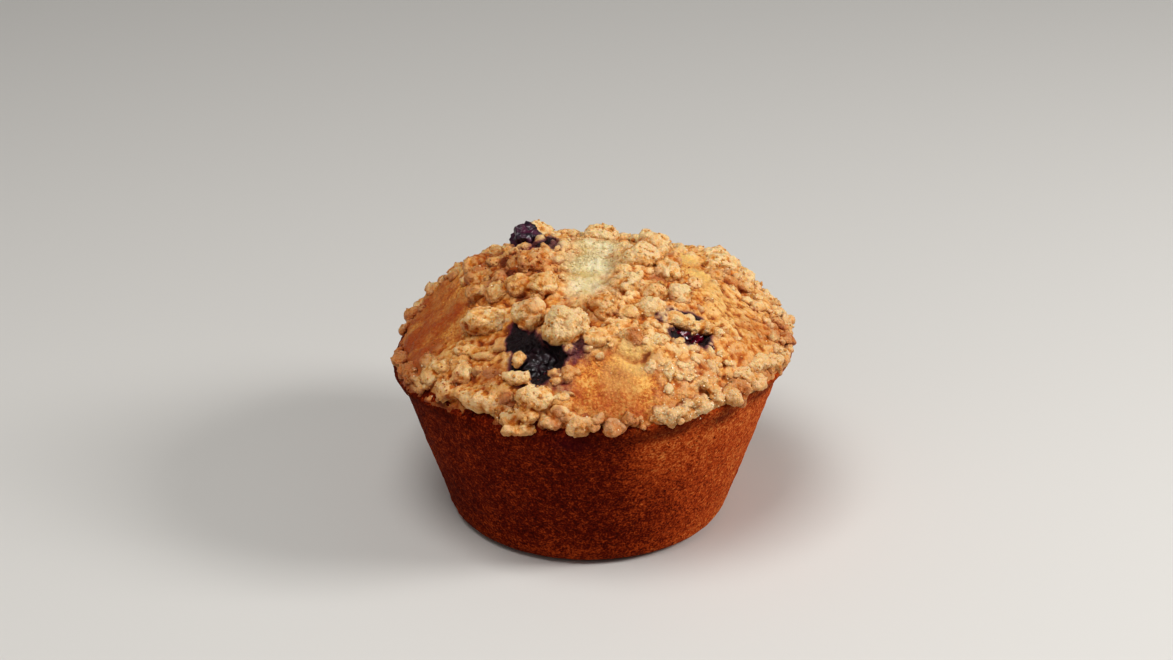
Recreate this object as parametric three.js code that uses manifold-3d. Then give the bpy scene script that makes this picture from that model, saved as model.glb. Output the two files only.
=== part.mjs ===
// A jumbo crumb-topped muffin with three baked berries, in millimetres, +Z up.
// The cup's own axis is the working axis while the pieces are made; at the end the
// whole is moved so that the origin lies under the middle of its bounding box.
import * as THREE from 'three';
import { mergeVertices } from 'three/addons/utils/BufferGeometryUtils.js';
import Module from 'manifold-3d';

const wasm = await Module();
wasm.setup();

// --- driving dimensions ---------------------------------------------------------

// The part that baked inside the tin: a cone with a rounded bottom edge. baseRadius is
// where the wall's line meets the table, taper is how much the wall widens per height.
const cup = {
  baseRadius: 31.8,
  edgeRadius: 4,
  taper: 0.33,
  segments: 48,
  edgeSteps: 4,
  innerRingShare: 0.55,
  wallRingHeights: [14, 25],
};

// The lip that rose over the tin's edge and browned. Its widest ring is tilted a little,
// and its underside drops back to the wall.
const lip = {
  centre: new THREE.Vector2(0.9, 0.6),
  radius: 45.6,
  height: 39.8,
  tiltX: 2.2,
  tiltY: -0.8,
  drop: 3.4,
  underShares: [0, 0.4, 0.75],
  underRounding: 1.4,
  flare: 0.8,
  fade: 8,
};

// Waves of the lip round its circle: how many, how deep, turned by how much.
const lipWaves = [
  { count: 2, depth: 0.5, turn: 0.4 },
  { count: 3, depth: 0.4, turn: 2.1 },
  { count: 5, depth: 0.35, turn: 1.0 },
  { count: 8, depth: 0.25, turn: 3.0 },
];

// The crown: a dome on the lip, with swells where the batter rose further. Its rings
// are given as shares of the way out to the lip.
const dome = {
  height: 18,
  roundness: 0.86,
  ringShares: [1, 0.98, 0.93, 0.86, 0.76, 0.64, 0.51, 0.37, 0.2, 0],
};
const swells = [
  { x: -12, y: 4, height: 5, spread: 15 },
  { x: 32, y: 17, height: 2.6, spread: 8 },
  { x: -38, y: 15, height: 2.2, spread: 6 },
  { x: 13, y: 0, height: 1.8, spread: 7 },
];

// The bed of fine crumbs that baked onto the crust, and how softly it thins out.
const crumbBed = { thickness: 1.4, softness: 0.35 };

// Places where the golden crust stays bare of crumbs: ellipses seen from above.
const barePatches = [
  { name: 'left flank', x: -34, y: -4, across: 8, along: 13, turn: 0.35 },
  { name: 'front', x: 7, y: -36, across: 11.5, along: 7, turn: 0.05 },
  { name: 'right shoulder', x: 36, y: -7, across: 6.5, along: 11, turn: 0 },
  { name: 'pale middle', x: 0.5, y: -3, across: 6.5, along: 8, turn: 0 },
  { name: 'back', x: 8, y: 34, across: 10, along: 6.5, turn: -0.2 },
];

// Baked berries. sink is how far the centre lies below the crown, the hollow is the
// sunken place in the batter above a berry.
const berryGap = 0.3;
const berries = [
  {
    node: 'berry_front', x: -11.6, y: -29.6, sink: 4.6,
    halfSize: [6, 5.6, 5], hollow: { x: -11.2, y: -30, lift: 1.6, halfSize: [6.4, 6, 4.4] },
  },
  {
    node: 'berry_right', x: 22.4, y: -18.8, sink: 4.4,
    halfSize: [5.6, 5.2, 4.8], hollow: { x: 22.6, y: -19.6, lift: 1.6, halfSize: [5.2, 4.4, 3.4] },
  },
  {
    node: 'berry_top', x: -14, y: 10, sink: -1.8,
    halfSize: [4.1, 4, 3.8],
  },
];
const berrySkinDetail = 3;
const wrinkle = { depth: 0.045, across: 7, along: 6, lean: 2 };
const hollowDetail = 2;

// Large lumps of crumb, each with its place, mean radius and height over the crown.
const lumps = [
  { x: -22, y: -17.5, radius: 4.6, lift: 0.8 },
  { x: -12.8, y: -19.6, radius: 3.9, lift: 1.6 },
  { x: -5.4, y: -22.4, radius: 5, lift: 1.6 },
  { x: -16.4, y: -28.8, radius: 2.2, lift: 0.6 },
  { x: -4, y: -32, radius: 2.6, lift: 0 },
  { x: -22.5, y: -7, radius: 3.9, lift: 0.6 },
  { x: -24.5, y: -1, radius: 3.4, lift: 0.5 },
  { x: -15.2, y: -9.5, radius: 3.9, lift: 0.7 },
  { x: -10, y: -11, radius: 3.3, lift: 0.6 },
  { x: -17.5, y: -2.5, radius: 3.6, lift: 0.5 },
  { x: -10.2, y: 12.5, radius: 3, lift: 3 },
  { x: -21.5, y: 7, radius: 3.4, lift: 0.4 },
  { x: 3, y: 15, radius: 3.9, lift: 0.4 },
  { x: 12.5, y: -1, radius: 3.9, lift: 0.4 },
  { x: 15.5, y: 8, radius: 3.6, lift: 0.8 },
  { x: 8.5, y: -10.5, radius: 3.7, lift: 0.4 },
  { x: 14, y: -13, radius: 3.9, lift: 0.3 },
  { x: 4.5, y: -15.5, radius: 3.6, lift: 0.3 },
  { x: 10.5, y: -19.5, radius: 3.9, lift: 0 },
  { x: 2.5, y: -21, radius: 3.4, lift: 0.2 },
  { x: 29, y: 17, radius: 3.6, lift: 0.3 },
  { x: -13.5, y: -37, radius: 3.9, lift: 0.4 },
  { x: -20.5, y: -34.5, radius: 3.4, lift: 0.4 },
  { x: -27, y: -29, radius: 3.4, lift: 0.3 },
];

// Small crumbs that bridge the right berry, from one rim of its hollow to the other.
const bridge = { fromX: 16.6, toX: 28, y: -18.2, rise: 0.4, radius: 1.7, count: 6 };

// The crumb cover: even spacing by a sunflower spiral, with uneven sizes, kept clear of
// the berries and of the middles of the lumps.
const cover = {
  count: 130,
  smallest: 2.2,
  largest: 3.3,
  reach: 0.96,
  jitter: 1.2,
  lift: 0.12,
  clearOfBerry: 0.8,
  lumpShare: 0.8,
};
const lipCrumbs = { count: 28, smallest: 1.9, largest: 2.7, above: 0.5, inward: 0.4, jitter: 0.3 };

// A nugget of crumb: how uneven it is, and its stretch and tip from the ball it starts as.
const nugget = {
  unevenness: 0.14,
  width: [0.9, 1.15],
  depth: [0.85, 1.1],
  height: [0.8, 1],
  tip: [0, 0.8],
  turn: [0, 2 * Math.PI],
  smallDetail: 0,
  largeDetail: 1,
  largeFrom: 3.8,
};
const goldenAngle = Math.PI * (3 - Math.sqrt(5));
const seed = 20;

// --- small helpers --------------------------------------------------------------

// A repeatable stream of numbers from 0 to 1.
function makeRandom(start) {
  let state = start >>> 0;
  return () => {
    state = (state + 0x6d2b79f5) >>> 0;
    let mixed = Math.imul(state ^ (state >>> 15), state | 1);
    mixed ^= mixed + Math.imul(mixed ^ (mixed >>> 7), mixed | 61);
    return ((mixed ^ (mixed >>> 14)) >>> 0) / 4294967296;
  };
}

function between(random, [low, high]) {
  return low + (high - low) * random();
}

// Welds a geometry down to shared positions and drops triangles that shrank to a line.
function weld(geometry) {
  geometry.deleteAttribute('normal');
  geometry.deleteAttribute('uv');
  const welded = mergeVertices(geometry, 1e-4);
  const index = welded.getIndex().array;
  const kept = [];
  for (let i = 0; i < index.length; i += 3) {
    const [a, b, c] = [index[i], index[i + 1], index[i + 2]];
    if (a !== b && b !== c && c !== a) {
      kept.push(a, b, c);
    }
  }
  welded.setIndex(kept);
  return welded;
}

function toSolid(geometry) {
  const vertProperties = new Float32Array(geometry.getAttribute('position').array);
  const triVerts = new Uint32Array(geometry.getIndex().array);
  return new wasm.Manifold(new wasm.Mesh({ numProp: 3, vertProperties, triVerts }));
}

function toGeometry(solid) {
  const { vertProperties, triVerts } = solid.getMesh();
  const geometry = new THREE.BufferGeometry();
  geometry.setAttribute('position', new THREE.BufferAttribute(vertProperties, 3));
  geometry.setIndex(new THREE.BufferAttribute(triVerts, 1));
  geometry.computeVertexNormals();
  return geometry;
}

// The largest of a solid's separate pieces: the cut's loose scraps are dropped.
function largestPiece(solid) {
  const pieces = solid.decompose();
  return pieces.reduce((best, piece) => (piece.volume() > best.volume() ? piece : best));
}

// --- the crown's surface --------------------------------------------------------

function lipRadiusAt(angle) {
  const waves = lipWaves.map((wave) => wave.depth * Math.cos(wave.count * angle + wave.turn));
  return waves.reduce((sum, value) => sum + value, lip.radius);
}

function lipHeightAt(x, y) {
  return lip.height + (lip.tiltX * x + lip.tiltY * y) / lip.radius;
}

function lipPlace(angle, share) {
  const radius = lipRadiusAt(angle) * share;
  return [lip.centre.x + radius * Math.cos(angle), lip.centre.y + radius * Math.sin(angle)];
}

// What lies on the crown dies away at the lip: 1 over most of it, 0 on the widest ring.
function fadeAtLip(share) {
  return 1 - share ** lip.fade;
}

// How far out a place lies in an ellipse: 0 at its middle, 1 on its edge.
function reachIn(x, y, patch) {
  const dx = x - patch.x;
  const dy = y - patch.y;
  const across = dx * Math.cos(patch.turn) + dy * Math.sin(patch.turn);
  const along = dy * Math.cos(patch.turn) - dx * Math.sin(patch.turn);
  return Math.hypot(across / patch.across, along / patch.along);
}

// Thickness of the crumb bed: full over most of the crown, none on the bare patches.
function bedAt(x, y, share) {
  const inner = 1 - crumbBed.softness;
  const outer = 1 + crumbBed.softness;
  const covered = barePatches.map((patch) => {
    return THREE.MathUtils.smoothstep(reachIn(x, y, patch), inner, outer);
  });
  return crumbBed.thickness * Math.min(...covered) * fadeAtLip(share);
}

// Height of the crown over the table at a place inside the lip.
function crownHeightAt(x, y) {
  const dx = x - lip.centre.x;
  const dy = y - lip.centre.y;
  const share = Math.min(1, Math.hypot(dx, dy) / lipRadiusAt(Math.atan2(dy, dx)));
  let height = lipHeightAt(x, y) + dome.height * (1 - share ** 2) ** dome.roundness;
  for (const swell of swells) {
    const distance = Math.hypot(x - swell.x, y - swell.y) / swell.spread;
    height += swell.height * Math.exp(-(distance ** 2) / 2) * fadeAtLip(share);
  }
  return height + bedAt(x, y, share);
}

// Outward direction of the crown at a place inside the lip.
function crownNormalAt(x, y) {
  const step = 0.5;
  const slopeX = (crownHeightAt(x + step, y) - crownHeightAt(x - step, y)) / (2 * step);
  const slopeY = (crownHeightAt(x, y + step) - crownHeightAt(x, y - step)) / (2 * step);
  return new THREE.Vector3(-slopeX, -slopeY, 1).normalize();
}

// A point at a given height over the crown, measured square to it.
function overCrown(x, y, lift) {
  const point = new THREE.Vector3(x, y, crownHeightAt(x, y));
  return point.addScaledVector(crownNormalAt(x, y), lift);
}

// --- the cake: one closed skin of rings -----------------------------------------

function wallRadiusAt(height) {
  return cup.baseRadius + cup.taper * height;
}

// Rings from the middle of the base up to the crown's peak. Each gives its place from
// an angle round the axis.
function cakeRings() {
  const rings = [];
  const addCupRing = (radius, height) => {
    rings.push((angle) => [radius * Math.cos(angle), radius * Math.sin(angle), height]);
  };

  const wallLean = Math.atan(cup.taper);
  const edgeCentre = wallRadiusAt(cup.edgeRadius) - cup.edgeRadius / Math.cos(wallLean);
  addCupRing(0, 0);
  addCupRing(edgeCentre * cup.innerRingShare, 0);
  for (let step = 0; step <= cup.edgeSteps; step += 1) {
    const turn = -Math.PI / 2 + (Math.PI / 2 - wallLean) * (step / cup.edgeSteps);
    addCupRing(edgeCentre + cup.edgeRadius * Math.cos(turn), cup.edgeRadius * (1 + Math.sin(turn)));
  }
  for (const height of cup.wallRingHeights) {
    addCupRing(wallRadiusAt(height), height);
  }

  // Under the lip: from the wall's top out to the widest ring.
  for (const share of lip.underShares) {
    rings.push((angle) => {
      const [x, y] = lipPlace(angle, 1);
      const widestHeight = lipHeightAt(x, y);
      const height = widestHeight - lip.drop * (1 - share ** lip.underRounding);
      const wallRadius = wallRadiusAt(widestHeight - lip.drop);
      const wallX = wallRadius * Math.cos(angle);
      const wallY = wallRadius * Math.sin(angle);
      const out = share ** lip.flare;
      return [wallX + (x - wallX) * out, wallY + (y - wallY) * out, height];
    });
  }

  for (const share of dome.ringShares) {
    rings.push((angle) => {
      const [x, y] = lipPlace(angle, share);
      return [x, y, crownHeightAt(x, y)];
    });
  }
  return rings;
}

// The rings are threaded on a lathed sleeve, which gives the skin its triangles.
function makeCake() {
  const rings = cakeRings();
  const isPole = (ring) => ring === 0 || ring === rings.length - 1;
  const profile = rings.map((_, ring) => new THREE.Vector2(isPole(ring) ? 0 : 1, ring));
  const geometry = new THREE.LatheGeometry(profile, cup.segments);
  const position = geometry.getAttribute('position');
  for (let i = 0; i < position.count; i += 1) {
    const ring = i % rings.length;
    const column = Math.floor(i / rings.length) % cup.segments;
    const angle = (2 * Math.PI * column) / cup.segments;
    position.setXYZ(i, ...rings[ring](angle));
  }
  return toSolid(weld(geometry));
}

// --- lumps, crumbs and berries --------------------------------------------------

// An uneven nugget: a small icosahedron, dented at random and turned at random.
function makeNugget(random, centre, radius, detail) {
  const geometry = weld(new THREE.IcosahedronGeometry(radius, detail));
  const position = geometry.getAttribute('position');
  const point = new THREE.Vector3();
  for (let i = 0; i < position.count; i += 1) {
    point.fromBufferAttribute(position, i);
    point.multiplyScalar(1 + between(random, [-nugget.unevenness, nugget.unevenness]));
    position.setXYZ(i, point.x, point.y, point.z);
  }
  const stretch = [nugget.width, nugget.depth, nugget.height].map((range) => between(random, range));
  const turns = [nugget.tip, nugget.tip, nugget.turn].map((range) => between(random, range));
  geometry.scale(...stretch);
  geometry.applyQuaternion(new THREE.Quaternion().setFromEuler(new THREE.Euler(...turns)));
  geometry.translate(centre.x, centre.y, centre.z);
  return toSolid(geometry);
}

// A wrinkled berry; grow makes the same form larger all round, for its pocket.
function makeBerry(berry, grow) {
  const geometry = weld(new THREE.IcosahedronGeometry(1, berrySkinDetail));
  const position = geometry.getAttribute('position');
  const centre = overCrown(berry.x, berry.y, -berry.sink);
  const half = berry.halfSize;
  const point = new THREE.Vector3();
  for (let i = 0; i < position.count; i += 1) {
    point.fromBufferAttribute(position, i);
    const foldAcross = Math.sin(wrinkle.across * point.x + berry.x);
    const foldAlong = Math.sin(wrinkle.along * point.y + wrinkle.lean * point.z);
    const size = 1 + wrinkle.depth * foldAcross * foldAlong;
    position.setXYZ(
      i,
      point.x * (half[0] * size + grow),
      point.y * (half[1] * size + grow),
      point.z * (half[2] * size + grow),
    );
  }
  geometry.translate(centre.x, centre.y, centre.z);
  return toSolid(geometry);
}

// The sunken place over a berry.
function makeHollow({ x, y, lift, halfSize }) {
  const geometry = weld(new THREE.IcosahedronGeometry(1, hollowDetail));
  const centre = overCrown(x, y, lift);
  geometry.scale(...halfSize);
  geometry.translate(centre.x, centre.y, centre.z);
  return toSolid(geometry);
}

// A crumb keeps off the bare crust, the berries and the big lumps.
function isFree(x, y) {
  if (barePatches.some((patch) => reachIn(x, y, patch) < 1)) {
    return false;
  }
  const distanceTo = (thing) => Math.hypot(x - thing.x, y - thing.y);
  if (berries.some((berry) => distanceTo(berry) < berry.halfSize[0] + cover.clearOfBerry)) {
    return false;
  }
  return !lumps.some((lump) => distanceTo(lump) < lump.radius * cover.lumpShare);
}

function makeLumps(random) {
  return lumps.map((lump) => {
    const centre = overCrown(lump.x, lump.y, lump.lift);
    const detail = lump.radius > nugget.largeFrom ? nugget.largeDetail : nugget.smallDetail;
    return makeNugget(random, centre, lump.radius, detail);
  });
}

function makeBridge(random) {
  const crumbs = [];
  for (let i = 0; i < bridge.count; i += 1) {
    const x = bridge.fromX + ((bridge.toX - bridge.fromX) * i) / (bridge.count - 1);
    const centre = overCrown(x, bridge.y, bridge.rise);
    crumbs.push(makeNugget(random, centre, bridge.radius, nugget.smallDetail));
  }
  return crumbs;
}

function makeCover(random) {
  const crumbs = [];
  for (let i = 0; i < cover.count; i += 1) {
    const angle = i * goldenAngle;
    const share = cover.reach * Math.sqrt((i + 0.5) / cover.count);
    const [spotX, spotY] = lipPlace(angle, share);
    const stray = cover.jitter * fadeAtLip(share);
    const x = spotX + between(random, [-stray, stray]);
    const y = spotY + between(random, [-stray, stray]);
    const radius = between(random, [cover.smallest, cover.largest]);
    if (isFree(x, y)) {
      const centre = overCrown(x, y, radius * cover.lift);
      crumbs.push(makeNugget(random, centre, radius, nugget.smallDetail));
    }
  }
  return crumbs;
}

function makeLipCrumbs(random) {
  const crumbs = [];
  for (let i = 0; i < lipCrumbs.count; i += 1) {
    const stray = between(random, [-lipCrumbs.jitter, lipCrumbs.jitter]);
    const angle = (2 * Math.PI * (i + stray)) / lipCrumbs.count;
    const [x, y] = lipPlace(angle, 1);
    const height = lipHeightAt(x, y) + lipCrumbs.above * random();
    const radius = between(random, [lipCrumbs.smallest, lipCrumbs.largest]);
    const reach = 1 - (lipCrumbs.inward * radius) / lip.radius;
    const centre = new THREE.Vector3(x * reach, y * reach, height);
    crumbs.push(makeNugget(random, centre, radius, nugget.smallDetail));
  }
  return crumbs;
}

// --- the muffin and its berries -------------------------------------------------

function makeMuffin() {
  const random = makeRandom(seed);
  let muffin = makeCake();
  for (const berry of berries.filter((each) => each.hollow)) {
    muffin = muffin.subtract(makeHollow(berry.hollow));
  }
  const crumbs = [
    ...makeLumps(random),
    ...makeBridge(random),
    ...makeCover(random),
    ...makeLipCrumbs(random),
  ];
  for (const crumb of crumbs) {
    muffin = muffin.add(crumb);
  }
  for (const berry of berries) {
    muffin = muffin.subtract(makeBerry(berry, berryGap));
  }
  return largestPiece(muffin);
}

const crust = new THREE.MeshStandardMaterial({ color: 0xc4874a, roughness: 0.85, metalness: 0 });
const berrySkin = new THREE.MeshStandardMaterial({ color: 0x241626, roughness: 0.35, metalness: 0 });

const muffinMesh = new THREE.Mesh(toGeometry(makeMuffin()), crust);
muffinMesh.name = 'muffin';

const group = new THREE.Group();
group.add(muffinMesh);
for (const berry of berries) {
  const mesh = new THREE.Mesh(toGeometry(makeBerry(berry, 0)), berrySkin.clone());
  mesh.name = berry.node;
  group.add(mesh);
}

const bounds = new THREE.Box3().setFromObject(group);
const middle = bounds.getCenter(new THREE.Vector3());
group.position.set(-middle.x, -middle.y, -bounds.min.z);
group.updateMatrixWorld(true);

export default group;
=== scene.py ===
import math

import bmesh
import bpy
import numpy as np
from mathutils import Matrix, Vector
from mathutils.kdtree import KDTree


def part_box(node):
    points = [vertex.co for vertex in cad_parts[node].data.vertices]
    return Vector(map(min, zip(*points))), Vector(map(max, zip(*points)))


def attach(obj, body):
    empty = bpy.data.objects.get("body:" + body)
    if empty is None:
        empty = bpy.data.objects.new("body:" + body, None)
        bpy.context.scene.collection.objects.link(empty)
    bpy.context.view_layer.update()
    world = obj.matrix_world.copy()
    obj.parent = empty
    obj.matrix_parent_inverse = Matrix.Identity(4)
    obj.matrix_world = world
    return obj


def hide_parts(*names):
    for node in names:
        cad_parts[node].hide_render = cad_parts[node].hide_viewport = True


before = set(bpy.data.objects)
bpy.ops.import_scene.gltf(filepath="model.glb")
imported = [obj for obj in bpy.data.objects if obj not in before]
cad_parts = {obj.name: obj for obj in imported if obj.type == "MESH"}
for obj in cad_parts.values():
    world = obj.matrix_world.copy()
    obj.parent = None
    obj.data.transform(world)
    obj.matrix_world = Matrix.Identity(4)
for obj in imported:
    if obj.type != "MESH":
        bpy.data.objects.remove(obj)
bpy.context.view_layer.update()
print("frame loaded")

# Shapes are worked out in millimetres from the axis of the cup that the tin gave the muffin.
# A piece moves to the frame, and to metres, when its mesh is made.
mm = 0.001
onTable = 0.01  # lower than this, a point belongs to the face it stands on
cadPoints = np.array([v.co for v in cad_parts["muffin"].data.vertices]) / mm
restingFace = cadPoints[cadPoints[:, 2] < onTable]
cupAxis = (restingFace.min(axis=0) + restingFace.max(axis=0)) / 2 * (1, 1, 0)
random = np.random.default_rng(11)
draw = random.uniform

# The form: the cup, the lip that rose over the tin's rim, and the domed crown.
muffinForm = {
    "baseRadius": 31.8,  # where the wall's line meets the table
    "edgeRadius": 4.0,
    "taper": 0.33,  # how much the wall widens per millimetre of height
    "lipCentre": (0.9, 0.6),
    "lipRadius": 45.6,
    "lipWaves": [(2, 0.5, 0.4), (3, 0.4, 2.1), (5, 0.35, 1.0), (8, 0.25, 3.0)],  # count, depth, turn
    "lipHeight": 39.8,
    "lipTilt": (2.2, -0.8),
    "lipDrop": 3.4,  # from the widest ring down to where the underside meets the wall
    "underRounding": 1.4,
    "flare": 0.8,
    "fade": 8,  # how late the swells and the bed run out towards the lip
    "domeHeight": 18.0,
    "domeRoundness": 0.86,
    "swells": [(-12, 4, 5, 15), (32, 17, 2.6, 8), (-38, 15, 2.2, 6), (13, 0, 1.8, 7)],  # x, y, rise, spread
    "bedThickness": 1.4,  # fine crumb that baked onto the crust
    "bedSoftness": 0.35,
}

# Places where the golden crust stays bare: x, y, half across, half along, turn.
barePatches = {
    "leftFlank": (-34, -4, 8, 13, 0.35),
    "front": (7, -36, 11.5, 7, 0.05),
    "rightShoulder": (36, -7, 6.5, 11, 0),
    "paleMiddle": (0.5, -3, 6.5, 8, 0),
    "back": (8, 34, 10, 6.5, -0.2),
}

# Places where no crumb at all hides the crust, given the same way.
bareCrust = {
    "leftFlank": (-35.8, -1.6, 9.8, 15, 0.35),
    "front": (5.8, -36.8, 9.6, 6.9, 0),
    "yellowSeam": (23.6, 3, 2.6, 8, 0.37),
    "back": (8, 34, 10, 6.5, -0.2),
}
ragged = 0.9  # how far in mm that edge strays

# Sunken places over berries: x, y, height of the middle over the crown, half sizes.
hollows = {
    "front": (-11.2, -30, 1.6, (6.4, 6, 4.4)),
    "right": (22.6, -20.1, 1.6, (4.9, 4.7, 5.8)),
}


def smoothStep(value, low, high):
    t = np.clip((value - low) / (high - low), 0, 1)
    return t * t * (3 - 2 * t)


def fadeOut(value, low, high):
    return 1 - smoothStep(value, low, high)


def mound(x, y, atX, atY, reach):
    # 1 in the middle, falling off softly all round
    return np.exp(-(np.hypot(x - atX, y - atY) / reach) ** 2)


def columns(*values):
    # points from their x, y and z, and other rows from their columns
    return np.stack(values, axis=-1)


def flatPlace(x, y):
    return columns(x, y, 0 * x)


def unit(vectors):
    return vectors / np.linalg.norm(vectors, axis=-1, keepdims=True)


def hashOf(cell, salt):
    # repeatable numbers from 0 to 1, one for each whole-number cell
    n = salt * 2971215073
    for axis, factor in enumerate((73856093, 19349663, 83492791)):
        n = n ^ (cell[..., axis] * factor)
    n = ((n ^ (n >> 15)) * 2246822519) & 0xFFFFFFFF
    n = ((n ^ (n >> 13)) * 3266489917) & 0xFFFFFFFF
    return ((n ^ (n >> 16)) & 0xFFFFFF) / 0xFFFFFF


def softNoise(points, size, salt=0):
    # smooth noise from -1 to 1, with one hump about every size millimetres
    scaled = points / size + 0.37 * salt
    cell = np.floor(scaled).astype(np.int64)
    part = scaled - cell
    part = part * part * (3 - 2 * part)
    total = np.zeros(len(points))
    for corner in np.ndindex(2, 2, 2):
        share = np.where(np.array(corner) == 1, part, 1 - part).prod(axis=1)
        total += share * hashOf(cell + corner, salt)
    return total * 2 - 1


def layeredNoise(points, size, layers, salt=0):
    total, weight = np.zeros(len(points)), 0.0
    for layer in range(layers):
        total += softNoise(points, size / 2 ** layer, salt + layer) / 2 ** layer
        weight += 1 / 2 ** layer
    return total / weight


def packedGrains(points, size, salt=0):
    # grains packed side by side: distance to the nearest middle, and the grain's own number from 0 to 1
    scaled = points / size
    cell = np.floor(scaled).astype(np.int64)
    nearest = np.full(len(points), 9.0)
    own = np.zeros(len(points))
    for step in np.ndindex(3, 3, 3):
        other = cell + step - 1
        middle = other + columns(*[hashOf(other, salt + axis) for axis in (1, 2, 3)])
        distance = np.linalg.norm(scaled - middle, axis=1)
        own = np.where(distance < nearest, hashOf(other, salt + 4), own)
        nearest = np.minimum(nearest, distance)
    return nearest, own


def swayed(points, size, far, salt):
    # every point pushed a little to one side, neighbours alike, so that round things lose their roundness
    return points + far * columns(*[softNoise(points, size, salt + axis) for axis in range(3)])


def roundGrains(points, sizes, sway, salt, roundness=0.6):
    # relief of packed round grains, some higher than others, with each grain's own number
    near, own = packedGrains(swayed(points, *sway), sizes[0], salt)
    return sizes[1] * (roundness - near ** 2) * (0.5 + own), own


def lipRadiusAt(angle):
    waves = [depth * np.cos(count * angle + turn) for count, depth, turn in muffinForm["lipWaves"]]
    return muffinForm["lipRadius"] + sum(waves)


def lipHeightAt(x, y):
    tiltX, tiltY = muffinForm["lipTilt"]
    return muffinForm["lipHeight"] + (tiltX * x + tiltY * y) / muffinForm["lipRadius"]


def lipPlace(angle, share):
    radius = lipRadiusAt(angle) * share
    centreX, centreY = muffinForm["lipCentre"]
    return centreX + radius * np.cos(angle), centreY + radius * np.sin(angle)


def shareOut(x, y):
    # how far out towards the lip a place lies: 0 in the middle, 1 on the widest ring
    dx = x - muffinForm["lipCentre"][0]
    dy = y - muffinForm["lipCentre"][1]
    return np.hypot(dx, dy) / lipRadiusAt(np.arctan2(dy, dx))


def reachIn(x, y, patch):
    # 0 in the middle of an ellipse, 1 on its edge
    patchX, patchY, across, along, turn = patch
    dx = x - patchX
    dy = y - patchY
    u = (dx * math.cos(turn) + dy * math.sin(turn)) / across
    v = (dy * math.cos(turn) - dx * math.sin(turn)) / along
    return np.hypot(u, v)


def outsideAll(x, y, patches):
    # 0 inside any of the patches, 1 outside them all
    edge = (1 - muffinForm["bedSoftness"], 1 + muffinForm["bedSoftness"])
    return np.min([smoothStep(reachIn(x, y, patch), *edge) for patch in patches.values()], axis=0)


def crumbAt(x, y):
    # 0 on crust without any crumb, 1 where crumb hides the crust
    stray = ragged * layeredNoise(flatPlace(x, y), 3.0, 3, 64)
    return outsideAll(x + stray, y + stray, bareCrust)


def crownHeightAt(x, y):
    share = np.minimum(1, shareOut(x, y))
    fade = 1 - share ** muffinForm["fade"]
    height = lipHeightAt(x, y) + muffinForm["domeHeight"] * (1 - share ** 2) ** muffinForm["domeRoundness"]
    for swellX, swellY, rise, spread in muffinForm["swells"]:
        distance = np.hypot(x - swellX, y - swellY) / spread
        height = height + rise * np.exp(-distance ** 2 / 2) * fade
    return height + muffinForm["bedThickness"] * outsideAll(x, y, barePatches) * fade


def crownNormalAt(x, y):
    step = 0.5
    slopeX = (crownHeightAt(x + step, y) - crownHeightAt(x - step, y)) / (2 * step)
    slopeY = (crownHeightAt(x, y + step) - crownHeightAt(x, y - step)) / (2 * step)
    return unit(columns(-slopeX, -slopeY, np.ones_like(slopeX)))


def overCrown(x, y, lift):
    x, y, lift = np.broadcast_arrays(*(np.asarray(value, float) for value in (x, y, lift)))
    return columns(x, y, crownHeightAt(x, y)) + crownNormalAt(x, y) * lift[..., None]


def heightOver(points):
    # height of points over the crown
    return points[:, 2] - crownHeightAt(points[:, 0], points[:, 1])


def vertexNormals(points, faces):
    first, second, third, last = (points[faces[:, i]] for i in (0, 1, 2, -1))
    across = np.cross(third - first, last - second)
    total = np.zeros_like(points)
    for corner in faces.T:
        for axis in range(3):
            total[:, axis] += np.bincount(corner, weights=across[:, axis], minlength=len(points))
    return total / np.maximum(np.linalg.norm(total, axis=1, keepdims=True), 1e-9)


def evenedOut(values, faces, rounds):
    # each point moves to the middle of its neighbours, so that only the broad form stays
    index = faces.ravel()
    count = 2 * np.maximum(np.bincount(index, minlength=len(values)), 1)
    for _ in range(rounds):
        total = np.zeros_like(values)
        for step in (1, -1):
            other = np.roll(faces, step, axis=1).ravel()
            for axis in range(values.shape[1]):
                total[:, axis] += np.bincount(index, weights=values[other, axis], minlength=len(values))
        values = total / count[:, None]
    return values


def crevicesOf(points, faces, scales):
    # for each scale, rounds of evening out and depth in mm: 1 in the creases between grains, 0 on their tops
    normals = vertexNormals(points, faces)
    for rounds, depth in scales:
        sunken = np.einsum("ij,ij->i", evenedOut(points, faces, rounds) - points, normals)
        yield smoothStep(sunken, -0.3 * depth, depth)


def tipsOf(fine, broad):
    # 1 on the very tops of grains, where a painted highlight goes
    return fadeOut(broad, 0.0, 0.12) * fadeOut(fine, 0.0, 0.25)


def ballOf(subdivisions):
    mesh = bmesh.new()
    bmesh.ops.create_icosphere(mesh, subdivisions=subdivisions, radius=1)
    points = np.array([v.co for v in mesh.verts])
    faces = np.array([[v.index for v in f.verts] for f in mesh.faces])
    mesh.free()
    return points, faces


def anyTurns(count):
    # rotations in any direction
    w, x, y, z = unit(random.normal(size=(count, 4))).T
    rows = [
        [1 - 2 * (y * y + z * z), 2 * (x * y - z * w), 2 * (x * z + y * w)],
        [2 * (x * y + z * w), 1 - 2 * (x * x + z * z), 2 * (y * z - x * w)],
        [2 * (x * z - y * w), 2 * (y * z + x * w), 1 - 2 * (x * x + y * y)],
    ]
    return np.array(rows).transpose(2, 0, 1)


def flatTurns(angles):
    # rotations about the upright axis
    cosine, sine, none = np.cos(angles), np.sin(angles), 0 * angles
    rows = [[cosine, -sine, none], [sine, cosine, none], [none, none, none + 1]]
    return np.array(rows).transpose(2, 0, 1)


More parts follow.
